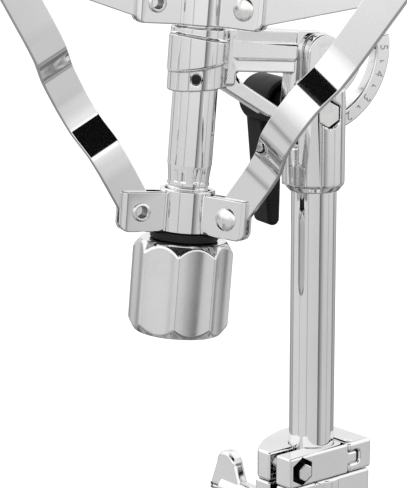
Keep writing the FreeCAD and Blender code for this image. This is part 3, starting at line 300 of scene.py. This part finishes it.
dress("leg_spider", "spider_cast", CAST, "base", "plated_casting", SPIDER_EDGE)
dress("leg_collar", "collar_cast", CAST, "leg_collar", "plated_casting", COLLAR_EDGE)
dress("leg_wing_screw", "collar_wing_screw", CAST, "leg_screw", "plated_casting", WING_SCREW_EDGE)
for number in "123":
    leg, brace = "leg_" + number, "brace_" + number
    dress(leg, "leg_channel_" + number, CHROME, leg, "chrome", LEG_EDGE, segments=2)
    dress(brace, "brace_bar_" + number, CHROME, brace, "chrome", BRACE_EDGE)
    dress("leg_rivets_" + number, "leg_pins_" + number, STEEL, leg, "bright_steel", LEG_PIN_EDGE, segments=2)
    dress("foot_" + number, "rubber_foot_" + number, RUBBER, leg, "rubber", FOOT_EDGE, segments=4, angle=40)
dress("spider_rivets", "spider_pins", STEEL, "base", "bright_steel", LEG_PIN_EDGE, segments=2)

# Height clamp: a split casting, plated, drawn tight on the height tube by a steel bolt.
# Its wing nut is cast in one: a slim tapered hub and two flared wings with round tips.
CLAMP_EDGE, CLAMP_BOLT_EDGE = 1.8, 0.5
CLAMP_TURN = Matrix.Rotation(math.radians(11.1), 4, "Z")
ALONG_Y = Matrix.Rotation(math.radians(-90), 4, "X")
NUT_AT = CLAMP_TURN @ Matrix.Translation((-0.023, 0, 0.271))
# the hub as radius and place along the bolt, with the bolt's hole inside
NUT_HUB = ((4.05, 12.05), (5.9, 12.05), (6.5, 12.6), (7.0, 46.9), (6.2, 47.8), (4.05, 48.05), (4.05, 12.05))
NUT_STEPS = 64
WING_MIDDLE, WING_SPAN, WING_TIP, WING_ROOT, WING_THICK = 44.05, 23.2, 8.2, 14.2, 8.0
WING_EDGE = 2.4
WING_POINTS = 48
ROOT_FLATNESS = 0.2
WING_UP = Matrix(((0, 0, -1, 0), (0, 1, 0, 0), (1, 0, 0, 0), (0, 0, 0, 1)))


def pick(piece, test):
    """Select vertices by their place and go to edit mode."""
    bpy.ops.object.mode_set(mode="EDIT")
    bpy.ops.mesh.select_mode(type="VERT")
    bpy.ops.mesh.select_all(action="DESELECT")
    bpy.ops.object.mode_set(mode="OBJECT")
    for vertex in piece.data.vertices:
        vertex.select = bool(test(vertex.co))
    bpy.ops.object.mode_set(mode="EDIT")


def disc(points, radius):
    """A flat disc whose points lie evenly on both sides of the Y axis."""
    begin()
    bpy.ops.mesh.primitive_circle_add(vertices=points, radius=radius, fill_type="NGON",
                                      rotation=(0, 0, math.pi / points))
    piece = bpy.context.object
    bpy.ops.object.transform_apply(location=False, rotation=True, scale=False)
    return piece


def join_all(pieces):
    begin()
    for piece in pieces:
        piece.select_set(True)
    bpy.context.view_layer.objects.active = pieces[0]
    bpy.ops.object.join()
    return pieces[0]


dress("height_clamp", "clamp_cast", CAST, "base", "plated_casting", CLAMP_EDGE, segments=4)
dress("height_bolt", "clamp_bolt", STEEL, "base", "bright_steel", CLAMP_BOLT_EDGE, segments=2)
nut_hub = lathe(NUT_HUB, NUT_STEPS)
smooth_flats(nut_hub)
settle(nut_hub, NUT_AT @ ALONG_Y)
nut_parts = [nut_hub]
for side_turn in (0, 180):
    wing = disc(WING_POINTS, WING_TIP)
    pick(wing, lambda co: co.x < 0)
    bpy.ops.transform.resize(value=(ROOT_FLATNESS, WING_ROOT / WING_TIP, 1), center_override=(0, 0, 0))
    bpy.ops.transform.translate(value=(WING_TIP - WING_SPAN, 0, 0))
    bpy.ops.mesh.select_all(action="SELECT")
    bpy.ops.transform.translate(value=(WING_SPAN - WING_TIP, 0, 0))
    bpy.ops.object.mode_set(mode="OBJECT")
    apply_modifier(wing, "SOLIDIFY", thickness=WING_THICK, offset=0)
    tidy_normals(wing)
    round_edges(wing, WING_EDGE, 5, 40)
    smooth_flats(wing)
    about_bolt = Matrix.Rotation(math.radians(side_turn), 4, "Y")
    settle(wing, NUT_AT @ Matrix.Translation((0, WING_MIDDLE * 0.001, 0)) @ about_bolt @ WING_UP)
    nut_parts.append(wing)
enlist(join_all(nut_parts), "clamp_wing_nut", CAST, "height_nut", "plated_casting", "height_wing_nut")

# Memory lock: two plated castings that close round the height tube and set how far down it slides.
# They are hinged on a steel pin and drawn together by a bolt, whose head lies in a hexagon recess painted
# black as painted shade.
# Black oxide is the set screw's own finish. The same dark finish is painted into the lock's hexagon recess as
# painted shade.
BLACK_OXIDE_AND_RECESS_SHADE = finish("black_oxide_and_recess_shade", 0.7, (grey(0.012), grey(0.025)), (0.3, 0.45), 300, 1800, (0.1, 0.0001))
LOCK_REAR_EDGE, LOCK_FRONT_EDGE, LOCK_BOLT_EDGE, LOCK_PIN_EDGE = 1.8, 1.3, 0.6, 0.3
LOCK_SHARP = 35
RECESS_AT = Vector((-22.8, 0.0, 297.0))
RECESS_REACH, RECESS_MOUTH, RECESS_FLOOR, RECESS_ACROSS = 8.8, -17.6, -12.6, 14.4
RING_TOLERANCE, MOUTH_MARGIN, FLOOR_MARGIN = 0.05, 0.3, 0.2
CUTTER_DEPTH, CUTTER_SHIFT = 10, 4.95


def from_recess(co):
    return (CLAMP_TURN.inverted() @ co) * 1000 - RECESS_AT


def recess_ring(co, level):
    offset = from_recess(co)
    return math.hypot(offset.x, offset.z) < RECESS_REACH and abs(offset.y - level) < RING_TOLERANCE


def in_recess(co):
    offset = from_recess(co)
    within = RECESS_MOUTH + MOUTH_MARGIN < offset.y < RECESS_FLOOR + FLOOR_MARGIN
    return math.hypot(offset.x, offset.z) < RECESS_REACH and within


dress("memory_lock_rear", "lock_rear_cast", CAST, "upper", "plated_casting", LOCK_REAR_EDGE, segments=4)
# the recess is closed before the edges are rounded, and cut again afterwards
lock_front = blank("memory_lock_front")
pick(lock_front, lambda co: recess_ring(co, RECESS_MOUTH) or recess_ring(co, RECESS_FLOOR))
bpy.ops.mesh.select_mode(type="FACE")
bpy.ops.mesh.delete(type="FACE")
for level in (RECESS_MOUTH, RECESS_FLOOR):
    bpy.ops.object.mode_set(mode="OBJECT")
    pick(lock_front, lambda co: recess_ring(co, level))
    bpy.ops.mesh.edge_face_add()
bpy.ops.mesh.select_all(action="SELECT")
bpy.ops.mesh.dissolve_limited(angle_limit=math.radians(1.0))
bpy.ops.object.mode_set(mode="OBJECT")
round_edges(lock_front, LOCK_FRONT_EDGE * 0.001, 4)
begin()
bpy.ops.mesh.primitive_cylinder_add(vertices=6, radius=RECESS_ACROSS / math.sqrt(3), depth=CUTTER_DEPTH)
cutter = bpy.context.object
cutter_at = RECESS_AT + Vector((0, RECESS_FLOOR - CUTTER_SHIFT, 0))
settle(cutter, CLAMP_TURN @ Matrix.Translation(cutter_at * 0.001) @ ALONG_Y)
apply_modifier(lock_front, "BOOLEAN", operation="DIFFERENCE", solver="EXACT", object=cutter, use_self=True,
               use_hole_tolerant=True)
bpy.data.objects.remove(cutter)
activate(lock_front)
bpy.ops.object.mode_set(mode="EDIT")
bpy.ops.mesh.select_mode(type="EDGE")
bpy.ops.mesh.select_all(action="DESELECT")
bpy.ops.mesh.edges_select_sharp(sharpness=math.radians(LOCK_SHARP))
bpy.ops.mesh.mark_sharp()
bpy.ops.object.mode_set(mode="OBJECT")
smooth_flats(lock_front)
enlist(lock_front, "lock_front_cast", CAST, "upper", "plated_casting", "memory_lock_front")
# painted shade: the faces inside the hexagon recess take the black finish, for the shade deep inside it
lock_front.data.materials.append(BLACK_OXIDE_AND_RECESS_SHADE)
for face in lock_front.data.polygons:
    if in_recess(face.center):
        face.material_index = 1
dress("memory_bolt", "lock_bolt", STEEL, "upper", "bright_steel", LOCK_BOLT_EDGE)
dress("memory_hinge_pin", "lock_hinge_pin", STEEL, "upper", "bright_steel", LOCK_PIN_EDGE, segments=2)

# Tilter yoke: one plated casting pressed on the height tube, forked at the top, with a plated pivot pin.
# A clamp bolt crosses it, with its hexagon head sunk in front, and a lever of black moulded plastic turns
# its nut at the back.
PLASTIC = finish("black_plastic", 0.0, (grey(0.003), grey(0.006)), (0.35, 0.5), 70, 3000,
                 (0.25, 0.0001), 0.15)
YOKE_EDGE, PIVOT_PIN_EDGE, TILT_BOLT_EDGE, LEVER_EDGE = 1.2, 0.15, 0.7, 2.0
PIVOT_HEIGHT, TILT_BOLT_HEIGHT = 530.0, 496.6
PIN_HOLE_REACH, HEAD_POCKET_REACH, HEAD_SEAT = 4.8, 8.8, -10.5


def in_yoke_hole(co):
    across, depth, height = co.x * 1000, co.y * 1000, co.z * 1000
    in_pocket = math.hypot(across, height - TILT_BOLT_HEIGHT) < HEAD_POCKET_REACH and depth < HEAD_SEAT
    return in_pocket or math.hypot(across, height - PIVOT_HEIGHT) < PIN_HOLE_REACH


dress("tilter_yoke", "yoke_cast", CAST, "upper", "plated_casting", YOKE_EDGE, 4, 30, in_yoke_hole)
dress("tilter_pivot_pin", "pivot_pin", CAST, "upper", "bright_steel", PIVOT_PIN_EDGE, segments=2)
dress("tilt_bolt", "clamp_bolt_of_tilter", STEEL, "upper", "bright_steel", TILT_BOLT_EDGE)
dress("tilt_lever", "lever_moulded", PLASTIC, "lever", "black_plastic", LEVER_EDGE, segments=4)

# Basket arm: the plated casting that tilts on the yoke and carries the basket post in a collar.
# Its slotted quadrant carries low dark numbers, with a short hooked mark between each pair.
# A blackened set screw holds the post in the collar.
# The numbers and marks stand a little proud of the face and are coloured grey, darker than the plating.
DIAL_GREY = finish("dial_grey_finish", 0.6, (grey(0.24), grey(0.32)), (0.4, 0.55), 400, 2000, (0.1, 0.0001))
ARM_CASTING_EDGE, SET_SCREW_EDGE = 1.2, 0.2
TILT = 5.0
PIVOT = Matrix.Translation((0, 0, PIVOT_HEIGHT * 0.001)) @ Matrix.Rotation(math.radians(TILT), 4, "Y")
DIAL_RADIUS, DIAL_FACE, DIAL_PROUD = 42.2, 4.0, 0.12
NUMBER_HEIGHT, FONT_SIZE_PER_HEIGHT, NUMBER_THINNING = 5.2, 1.4, -0.10
# each number and its angle round the pivot, in degrees
NUMBERS = (("5", 4.3), ("4", -16.0), ("3", -36.8), ("2", -57.2))
MARKS = (-5.8, -25.6, -45.8)
# each stroke of a mark: its width and height, and its middle
MARK_STROKES = (((0.55, 2.2), (0, 0)), ((1.6, 0.55), (0.55, -0.9)))
STROKE_EDGE = 0.08
dress("basket_arm", "basket_arm_cast", CAST, "basket", "plated_casting", ARM_CASTING_EDGE)
dress("collar_set_screw", "collar_screw", BLACK_OXIDE_AND_RECESS_SHADE, "basket", "bright_steel", SET_SCREW_EDGE, segments=2)


def on_dial(angle):
    """Up points away from the pivot, and the face looks along -Y."""
    out = Vector((math.cos(math.radians(angle)), 0, math.sin(math.radians(angle))))
    across = Vector((math.sin(math.radians(angle)), 0, -math.cos(math.radians(angle))))
    face = across.cross(out)
    at = out * DIAL_RADIUS + face * (DIAL_FACE + DIAL_PROUD)
    turn = Matrix((across, out, face)).transposed().to_4x4()
    return PIVOT @ Matrix.Translation(at * 0.001) @ turn


for digit, angle in NUMBERS:
    begin()
    bpy.ops.object.text_add()
    text = bpy.context.object
    text.data.body = digit
    text.data.size = NUMBER_HEIGHT * FONT_SIZE_PER_HEIGHT
    text.data.align_x = "CENTER"
    text.data.align_y = "CENTER"
    text.data.extrude = DIAL_PROUD
    text.data.offset = NUMBER_THINNING
    text.data.resolution_u = 6
    bpy.ops.object.convert(target="MESH")
    settle(text, on_dial(angle))
    enlist(text, "dial_number_" + digit, DIAL_GREY, "basket", "plated_casting")
for index, angle in enumerate(MARKS):
    strokes = []
    for reach, (along, up) in MARK_STROKES:
        begin()
        bpy.ops.mesh.primitive_cube_add(size=1)
        stroke = bpy.context.object
        stroke.scale = (*reach, DIAL_PROUD * 2)
        bpy.ops.object.transform_apply(location=False, rotation=False, scale=True)
        round_edges(stroke, STROKE_EDGE, 2)
        settle(stroke, on_dial(angle) @ Matrix.Translation((along * 0.001, up * 0.001, 0)))
        strokes.append(stroke)
    enlist(join_all(strokes), "dial_mark_%d" % (index + 1), DIAL_GREY, "basket", "plated_casting")

# Basket post: a turned and plated steel sleeve, held in the arm's collar and crimped over a slimmer stem.
# A rolled lip closes the crimp, and a threaded rod stands out below for the knob.
POST_OFFSET = -73.8
POST = PIVOT @ Matrix.Translation((POST_OFFSET * 0.001, 0, 0))
POST_STEPS = 96
# radius and height from the pivot's level, from the top down
POST_PROFILE = ((0, 34.0), (10.8, 34.0), (12.05, 32.8), (12.05, -62.5), (11.8, -62.9), (11.7, -64.2),
                (11.35, -67.5), (11.05, -70.6), (11.0, -71.6), (11.35, -72.1), (11.35, -73.4), (10.7, -73.9),
                (10.7, -74.6), (11.2, -75.1), (11.2, -76.2), (10.5, -76.9), (10.5, -99.5), (10.0, -100),
                (5.0, -100), (5.0, -121.2), (4.2, -122), (0, -122))
CRIMP_LOW, CRIMP_MIDDLE, CRIMP_HIGH = -70.7, -69, -67.4
CRIMP_SHARE, CRIMP_HALF_ANGLE = 0.95, 4.5
CRIMPS = (205, 226, 262, 283, 25, 46, 82, 103)
STEM_REACH = 8


def in_crimp(co):
    if not CRIMP_LOW < co.z < CRIMP_HIGH or math.hypot(co.x, co.y) < STEM_REACH:
        return False
    angle = math.degrees(math.atan2(co.y, co.x)) % 360
    return any(abs(angle - crimp) < CRIMP_HALF_ANGLE for crimp in CRIMPS)


post = lathe(POST_PROFILE, POST_STEPS)
pick(post, in_crimp)
bpy.ops.transform.resize(value=(CRIMP_SHARE, CRIMP_SHARE, 1), center_override=(0, 0, CRIMP_MIDDLE))
bpy.ops.object.mode_set(mode="OBJECT")
smooth_flats(post)
settle(post, POST)
enlist(post, "basket_post_turned", CHROME, "basket", "chrome", "basket_post")

# Hubs: two plated sleeves on the post, with three folded forks each, for the struts above and the arms below.
# Steel rivets pin them: each has a low dome on one side and a rolled, hollow end on the other.
# painted shade: the inside of each rivet's hollow end gets a darker steel, for the shade inside the hollow
RIVET_HOLLOW_SHADE = finish("painted_shade_in_hollow", 1.0, (grey(0.22), grey(0.30)), (0.35, 0.5), 200, 1600, (0.12, 0.0001))
HUB_EDGE = 0.9
ARM_TURN, ARM_STEP = 177.0, 120
# the third arm and its fork are the mirror image of the second
HANDS = (1, 1, -1)
PIN_REACH = 28.5
UPPER_PIN, LOWER_PIN = 23.1, -88.1
STRUT_SHIFT = 1.2
# dome, shank and rolled end of a rivet, as radius and place along it
RIVET = ((0, -6.55), (2.4, -6.4), (4.4, -5.95), (5.6, -5.4), (6.2, -4.95), (6.35, -4.65), (4.0, -4.65),
         (4.0, 4.65), (5.2, 4.65), (5.2, 5.0), (4.9, 5.45), (4.2, 5.65), (3.5, 5.45), (3.1, 5.0), (3.1, -3.6),
         (0, -3.8))
HOLLOW_RADIUS, HOLLOW_FLOOR = 3.15, RIVET[-1][1]
RIVET_STEPS = 40
dress("upper_hub", "upper_hub_plated", CHROME, "basket", "chrome", HUB_EDGE)
dress("lower_hub", "lower_hub_plated", CHROME, "lower_hub", "chrome", HUB_EDGE)


def turn_z(degrees):
    return Matrix.Rotation(math.radians(degrees), 4, "Z")


def hub_rivets(name, height, shift, body, node):
    rivets = []
    hollow = []
    for index, hand in enumerate(HANDS):
        rivet = lathe(RIVET, RIVET_STEPS)
        smooth_flats(rivet)
        for face in rivet.data.polygons:
            reach = math.hypot(face.center.x, face.center.y)
            hollow.append(1 if reach < HOLLOW_RADIUS and face.center.z > HOLLOW_FLOOR else 0)
        at = Matrix.Translation(Vector((PIN_REACH, shift * hand, height)) * 0.001)
        settle(rivet, POST @ turn_z(ARM_TURN + ARM_STEP * index) @ at @ ALONG_Y)
        rivets.append(rivet)
    piece = enlist(join_all(rivets), name, STEEL, body, "bright_steel", node)
    # painted shade on the faces inside the hollow end
    piece.data.materials.append(RIVET_HOLLOW_SHADE)
    piece.data.polygons.foreach_set("material_index", hollow)


hub_rivets("upper_rivets_formed", UPPER_PIN, STRUT_SHIFT, "basket", "upper_hub_rivets")
hub_rivets("lower_rivets_formed", LOWER_PIN, 0.0, "lower_hub", "lower_hub_rivets")

# Arms and struts: flat plated steel bars with round ends. Each arm is jogged sideways by two S bends, so that
# its middle clears the hub, and is riveted to its strut where they cross.
# A moulded rubber grip is pushed on its tip.
UPRIGHT = Matrix(((0, 1, 0, 0), (0, 0, 1, 0), (1, 0, 0, 0), (0, 0, 0, 1)))
ARM_ANGLE, STRUT_RISE = 33.7, 15.3
ARM_HALF, ARM_THICK, ARM_LENGTH, ARM_EDGE = 10.1, 3.6, 240.0, 0.55
STRUT_HALF, STRUT_THICK, STRUT_LENGTH, STRUT_EDGE = 10.25, 3.4, 94.044, 0.5
BAR_POINTS = 64
STRUT_SIDE = 3.55
ARM_UPPER = STRUT_SHIFT - STRUT_SIDE
JOG = -12.0
# middle of each bend and how far it carries the bar sideways
BENDS = ((46.75, JOG), (92.0, ARM_UPPER - JOG))
BEND_TIGHT, BEND_WIDE, TIGHT_SHARE = 18.0, 46.0, 0.48
STATION_STEP, STATION_TOLERANCE = 1.0, 0.01
LOW_END_SHARE = 0.891
# the crossing rivet's low dome, as radius and height
CROSS = ((0, 2.0), (2.6, 1.85), (4.4, 1.3), (5.5, 0.6), (6.0, 0.0), (0, 0.0))
GRIP_EDGE = 2.2


def copy_of(piece):
    twin = bpy.data.objects.new(piece.name, piece.data.copy())
    scene.collection.objects.link(twin)
    return twin


def bar_place(index, height, angle):
    pin = Matrix.Translation(Vector((PIN_REACH, 0, height)) * 0.001)
    return POST @ turn_z(ARM_TURN + ARM_STEP * index) @ pin @ UPRIGHT @ turn_z(angle)


def round_bar(half, length):
    """A flat outline with round ends from a disc drawn out along X."""
    piece = disc(BAR_POINTS, half)
    pick(piece, lambda co: co.x > 0)
    bpy.ops.transform.translate(value=(length, 0, 0))
    bpy.ops.object.mode_set(mode="OBJECT")
    return piece


def thicken(bar, thickness, edge):
    apply_modifier(bar, "SOLIDIFY", thickness=thickness, offset=0, use_even_offset=True)
    tidy_normals(bar)
    round_edges(bar, edge, 3, 50)


def ease(share):
    share = min(max(share, 0.0), 1.0)
    return share * share * (3 - 2 * share)


def arm_level(along):
    """Sideways place of the bar: each bend is tight in the middle and dies out slowly."""
    level = 0.0
    for middle, carry in BENDS:
        tight = ease((along - middle) / BEND_TIGHT + 0.5)
        wide = ease((along - middle) / BEND_WIDE + 0.5)
        level += carry * (tight * TIGHT_SHARE + wide * (1 - TIGHT_SHARE))
    return level


arm_bar = round_bar(ARM_HALF, ARM_LENGTH - ARM_HALF)
pick(arm_bar, lambda co: co.x < 0)
bpy.ops.transform.resize(value=(LOW_END_SHARE, LOW_END_SHARE, 1), center_override=(0, 0, 0))
first, last = BENDS[0][0] - BEND_WIDE / 2, BENDS[1][0] + BEND_WIDE / 2
count = round((last - first) / STATION_STEP)
stations = [first + (last - first) * step / count for step in range(count + 1)]
for along in stations:
    bpy.ops.mesh.select_all(action="SELECT")
    bpy.ops.mesh.bisect(plane_co=(along, 0, 0), plane_no=(1, 0, 0))
for along in stations:
    pick(arm_bar, lambda co: abs(co.x - along) < STATION_TOLERANCE)
    bpy.ops.transform.translate(value=(0, 0, arm_level(along)))
pick(arm_bar, lambda co: co.x > stations[-1] + STATION_TOLERANCE)
bpy.ops.transform.translate(value=(0, 0, ARM_UPPER))
bpy.ops.object.mode_set(mode="OBJECT")
thicken(arm_bar, ARM_THICK, ARM_EDGE)
arm_bar_mirrored = copy_of(arm_bar)
activate(arm_bar_mirrored)
bpy.ops.object.mode_set(mode="EDIT")
bpy.ops.mesh.select_all(action="SELECT")
bpy.ops.transform.resize(value=(1, 1, -1), center_override=(0, 0, 0))
bpy.ops.object.mode_set(mode="OBJECT")
tidy_normals(arm_bar_mirrored)
strut_bar = round_bar(STRUT_HALF, STRUT_LENGTH)
thicken(strut_bar, STRUT_THICK, STRUT_EDGE)
for bar in (arm_bar, arm_bar_mirrored, strut_bar):
    smooth_flats(bar)

for index, hand in enumerate(HANDS):
    number = str(index + 1)
    arm_name, strut_name, grip_name = "arm_" + number, "strut_" + number, "grip_" + number
    arm = copy_of(arm_bar if hand > 0 else arm_bar_mirrored)
    settle(arm, bar_place(index, LOWER_PIN, ARM_ANGLE))
    enlist(arm, "arm_bar_" + number, CHROME, arm_name, "chrome", arm_name)
    strut_place = bar_place(index, UPPER_PIN, 90 - STRUT_RISE)
    strut = copy_of(strut_bar)
    settle(strut, strut_place @ Matrix.Translation((0, 0, STRUT_SHIFT * hand * 0.001)))
    enlist(strut, "strut_bar_" + number, CHROME, strut_name, "chrome", strut_name)
    heads = []
    for level in (STRUT_SHIFT + STRUT_THICK / 2, ARM_UPPER - ARM_THICK / 2):
        head = lathe(CROSS, RIVET_STEPS)
        smooth_flats(head)
        at = Matrix.Translation(Vector((STRUT_LENGTH, 0, level * hand)) * 0.001)
        outward = Matrix.Rotation(0 if level * hand > 0 else math.pi, 4, "X")
        settle(head, strut_place @ at @ outward)
        heads.append(head)
    enlist(join_all(heads), "cross_rivet_" + number, STEEL, strut_name, "bright_steel", "arm_rivet_" + number)
    dress(grip_name, "rubber_grip_" + number, RUBBER, arm_name, "rubber", GRIP_EDGE, segments=4)
for bar in (arm_bar, arm_bar_mirrored, strut_bar):
    bpy.data.objects.remove(bar)

# Knob and washer: a heavy scalloped knob, cast and satin plated, that runs on the post's threaded rod.
# A black rubber washer lies between it and the lower hub.
SATIN = finish("satin_chrome", 1.0, (grey(0.74), grey(0.79)), (0.13, 0.19), 30, 700, (0.05, 0.00006))
KNOB_EDGE = 1.1
# radius and height from the pivot's level
WASHER = ((12.5, -103.2), (17.8, -103.2), (18.5, -102.5), (18.5, -99.9), (17.8, -99.2), (12.5, -99.2),
          (12.5, -103.2))
WASHER_STEPS = 80
dress("knob", "knob_cast", SATIN, "knob", "plated_casting", KNOB_EDGE, segments=4, angle=25)
washer = lathe(WASHER, WASHER_STEPS)
smooth_flats(washer)
settle(washer, POST)
enlist(washer, "knob_washer_rubber", RUBBER, "lower_hub", "rubber", "knob_washer")

# Studio: the stand is seen close up from the left of the tilter and a little above, in a bright cloth tent.
# The tent is open and dark above the lens, and its seams show in the plating as thin grey lines.
# The floor is a disc of white paper, and two soft lights hang above it.
CAMERA_AT = Vector((-0.62254, -0.98955, 0.68573))
CAMERA_AIM = Vector((0.4752, 0.8517, -0.221)).normalized()
CAMERA_RIGHT = Vector((0.8733, -0.4873, 0.0)).normalized()
PHOTO_HEIGHT = 488
FOCAL_PIXELS = 2139.4
SENSOR = 24.0
camera_data = bpy.data.cameras.new("camera")
camera_data.sensor_fit = "VERTICAL"
camera_data.sensor_height = SENSOR
camera_data.lens = FOCAL_PIXELS / PHOTO_HEIGHT * SENSOR
camera = bpy.data.objects.new("camera", camera_data)
scene.collection.objects.link(camera)
camera_up = CAMERA_RIGHT.cross(CAMERA_AIM)
camera_turn = Matrix((CAMERA_RIGHT, camera_up, -CAMERA_AIM)).transposed()
camera.matrix_world = Matrix.Translation(CAMERA_AT) @ camera_turn.to_4x4()
scene.camera = camera
scene.view_settings.view_transform = "Standard"

# levels of the tent, with each pair the start and end of a fade along a direction's height, side or front
TENT_LEVEL, TENT_SLANT = 0.74, 0.05
REAR_FADE, REAR_LOSS = (0.55, 0.90), 0.45
LIFT_FADE, LIFT_SLANT, LIFT_GAIN = (-0.17, 0.14), 0.10, 0.8
CEILING_FADE, CEILING_LOSS = (0.85, 0.97), 0.24
CLUTTER_SCALE, CLUTTER_FADE = 5.5, (0.44, 0.58)
FOOT_FADE, FOOT_SLANT, FOOT_PLAIN, FOOT_LOSS = (0.46, 0.52), 0.085, 0.35, 0.75
FAR_FADE, FAR_LOW_FADE, FAR_LOSS = (0.35, 0.75), (0.10, 0.30), 0.4
OPENING_FADE, OPENING_SLANT, OPENING_LOSS = (0.46, 0.50), 0.16, 0.997
OPENING_TOP_FADE, OPENING_FRONT_FADE = (0.955, 0.975), (0.22, 0.30)
SEAM_FADE = (0.0, 0.2)
BACKDROP_GAIN = 0.2
# each seam: azimuth from the camera in degrees, brightness, width before it and width after it
TENT_SEAMS = ((-152, 0.55, 10, 10), (-122, 0.30, 6, 5), (-72, 0.42, 2, 2), (-30, 0.40, 2, 3),
              (28, 0.16, 2, 25), (78, 0.45, 2, 3), (118, 0.32, 8, 12), (152, 0.5, 8, 10))
world = bpy.data.worlds.new("tent")
scene.world = world
tent = Tree(world)
ray = tent.add("ShaderNodeTexCoord")
towards = Vector((-CAMERA_AIM.x, -CAMERA_AIM.y, 0.0)).normalized()
side = tent.add("ShaderNodeVectorMath", {"operation": "DOT_PRODUCT"}, (ray, CAMERA_RIGHT), "Value")
front = tent.add("ShaderNodeVectorMath", {"operation": "DOT_PRODUCT"}, (ray, towards), "Value")
height = tent.add("ShaderNodeSeparateXYZ", None, (ray,), "Z")
around = tent.add("ShaderNodeMath", {"operation": "ARCTAN2"}, (side, front)) / (2 * math.pi) + 0.5
stops = [(0.0, 1.0)]
for azimuth, level, before, after in TENT_SEAMS:
    place = azimuth / 360 + 0.5
    stops += [(place - before / 360, 1.0), (place, level), (place + after / 360, 1.0)]
stops.append((1.0, 1.0))
seams = tent.add("ShaderNodeValToRGB", {"stops": stops}, (around,))
low_seams = 1 - (1 - seams) * (1 - rise(tent, height, *SEAM_FADE))
rear = rise(tent, -1 * front, *REAR_FADE)
lift = rise(tent, height + side * LIFT_SLANT, *LIFT_FADE) * (LIFT_GAIN - rear * REAR_LOSS)
glow = (1 + lift) * (1 - rise(tent, height, *CEILING_FADE) * CEILING_LOSS)
clutter = tent.add("ShaderNodeTexNoise", None, {"Vector": ray, "Scale": CLUTTER_SCALE, "Detail": 1.0})
patches = rise(tent, clutter, *CLUTTER_FADE)
foot = rise(tent, -1 * height - side * FOOT_SLANT, *FOOT_FADE) * (FOOT_PLAIN + (1 - FOOT_PLAIN) * patches)
far_foot = rise(tent, -1 * front, *FAR_FADE) * rise(tent, -1 * height, *FAR_LOW_FADE)
opening = (rise(tent, height + side * OPENING_SLANT, *OPENING_FADE)
           * (1 - rise(tent, height, *OPENING_TOP_FADE)) * rise(tent, front, *OPENING_FRONT_FADE))
wall = (low_seams * glow * (1 - foot * FOOT_LOSS) * (1 - far_foot * FAR_LOSS)
        * (TENT_LEVEL - side * TENT_SLANT))
mirrored = wall * (1 - opening * OPENING_LOSS)
is_camera = tent.add("ShaderNodeLightPath", None, (), "Is Camera Ray")
is_glossy = tent.add("ShaderNodeLightPath", None, (), "Is Glossy Ray")
plain = 1 + is_camera * BACKDROP_GAIN
tent.join(tent.nodes["Background"].inputs["Color"], is_glossy * mirrored + (1 - is_glossy) * plain)

FLOOR_RADIUS = 0.75
begin()
bpy.ops.mesh.primitive_circle_add(vertices=96, radius=FLOOR_RADIUS, fill_type="NGON")
floor = bpy.context.object
floor.name = "floor"
paper = bpy.data.materials.new("white_paper")
sheet = Tree(paper)
paper_shader = sheet.nodes["Principled BSDF"]
paper_shader.inputs["Roughness"].default_value = 0.9
paper_grain = sheet.add("ShaderNodeTexNoise", None, {"Scale": 40.0, "Detail": 3.0})
paper_tone = sheet.add("ShaderNodeValToRGB", {"stops": [(0.3, 0.93), (0.7, 0.96)]}, (paper_grain,))
sheet.join(paper_shader.inputs["Base Color"], paper_tone)
floor.data.materials.append(paper)
floor.visible_glossy = False

# each soft light: name, place, aim, size and power
SOFT_LIGHTS = (("key_light", Vector((-1.3, -1.0, 1.9)), Vector((0, 0, 0.35)), 1.2, 26),
               ("fill_light", Vector((1.4, -0.9, 1.5)), Vector((0, 0, 0.4)), 1.2, 16))
for name, at, aim, size, power in SOFT_LIGHTS:
    light_data = bpy.data.lights.new(name, "AREA")
    light_data.shape = "DISK"
    light_data.size = size
    light_data.energy = power
    lamp = bpy.data.objects.new(name, light_data)
    scene.collection.objects.link(lamp)
    lamp.location = at
    lamp.rotation_euler = (aim - at).to_track_quat("-Z", "Y").to_euler()
    lamp.visible_glossy = False

begin()
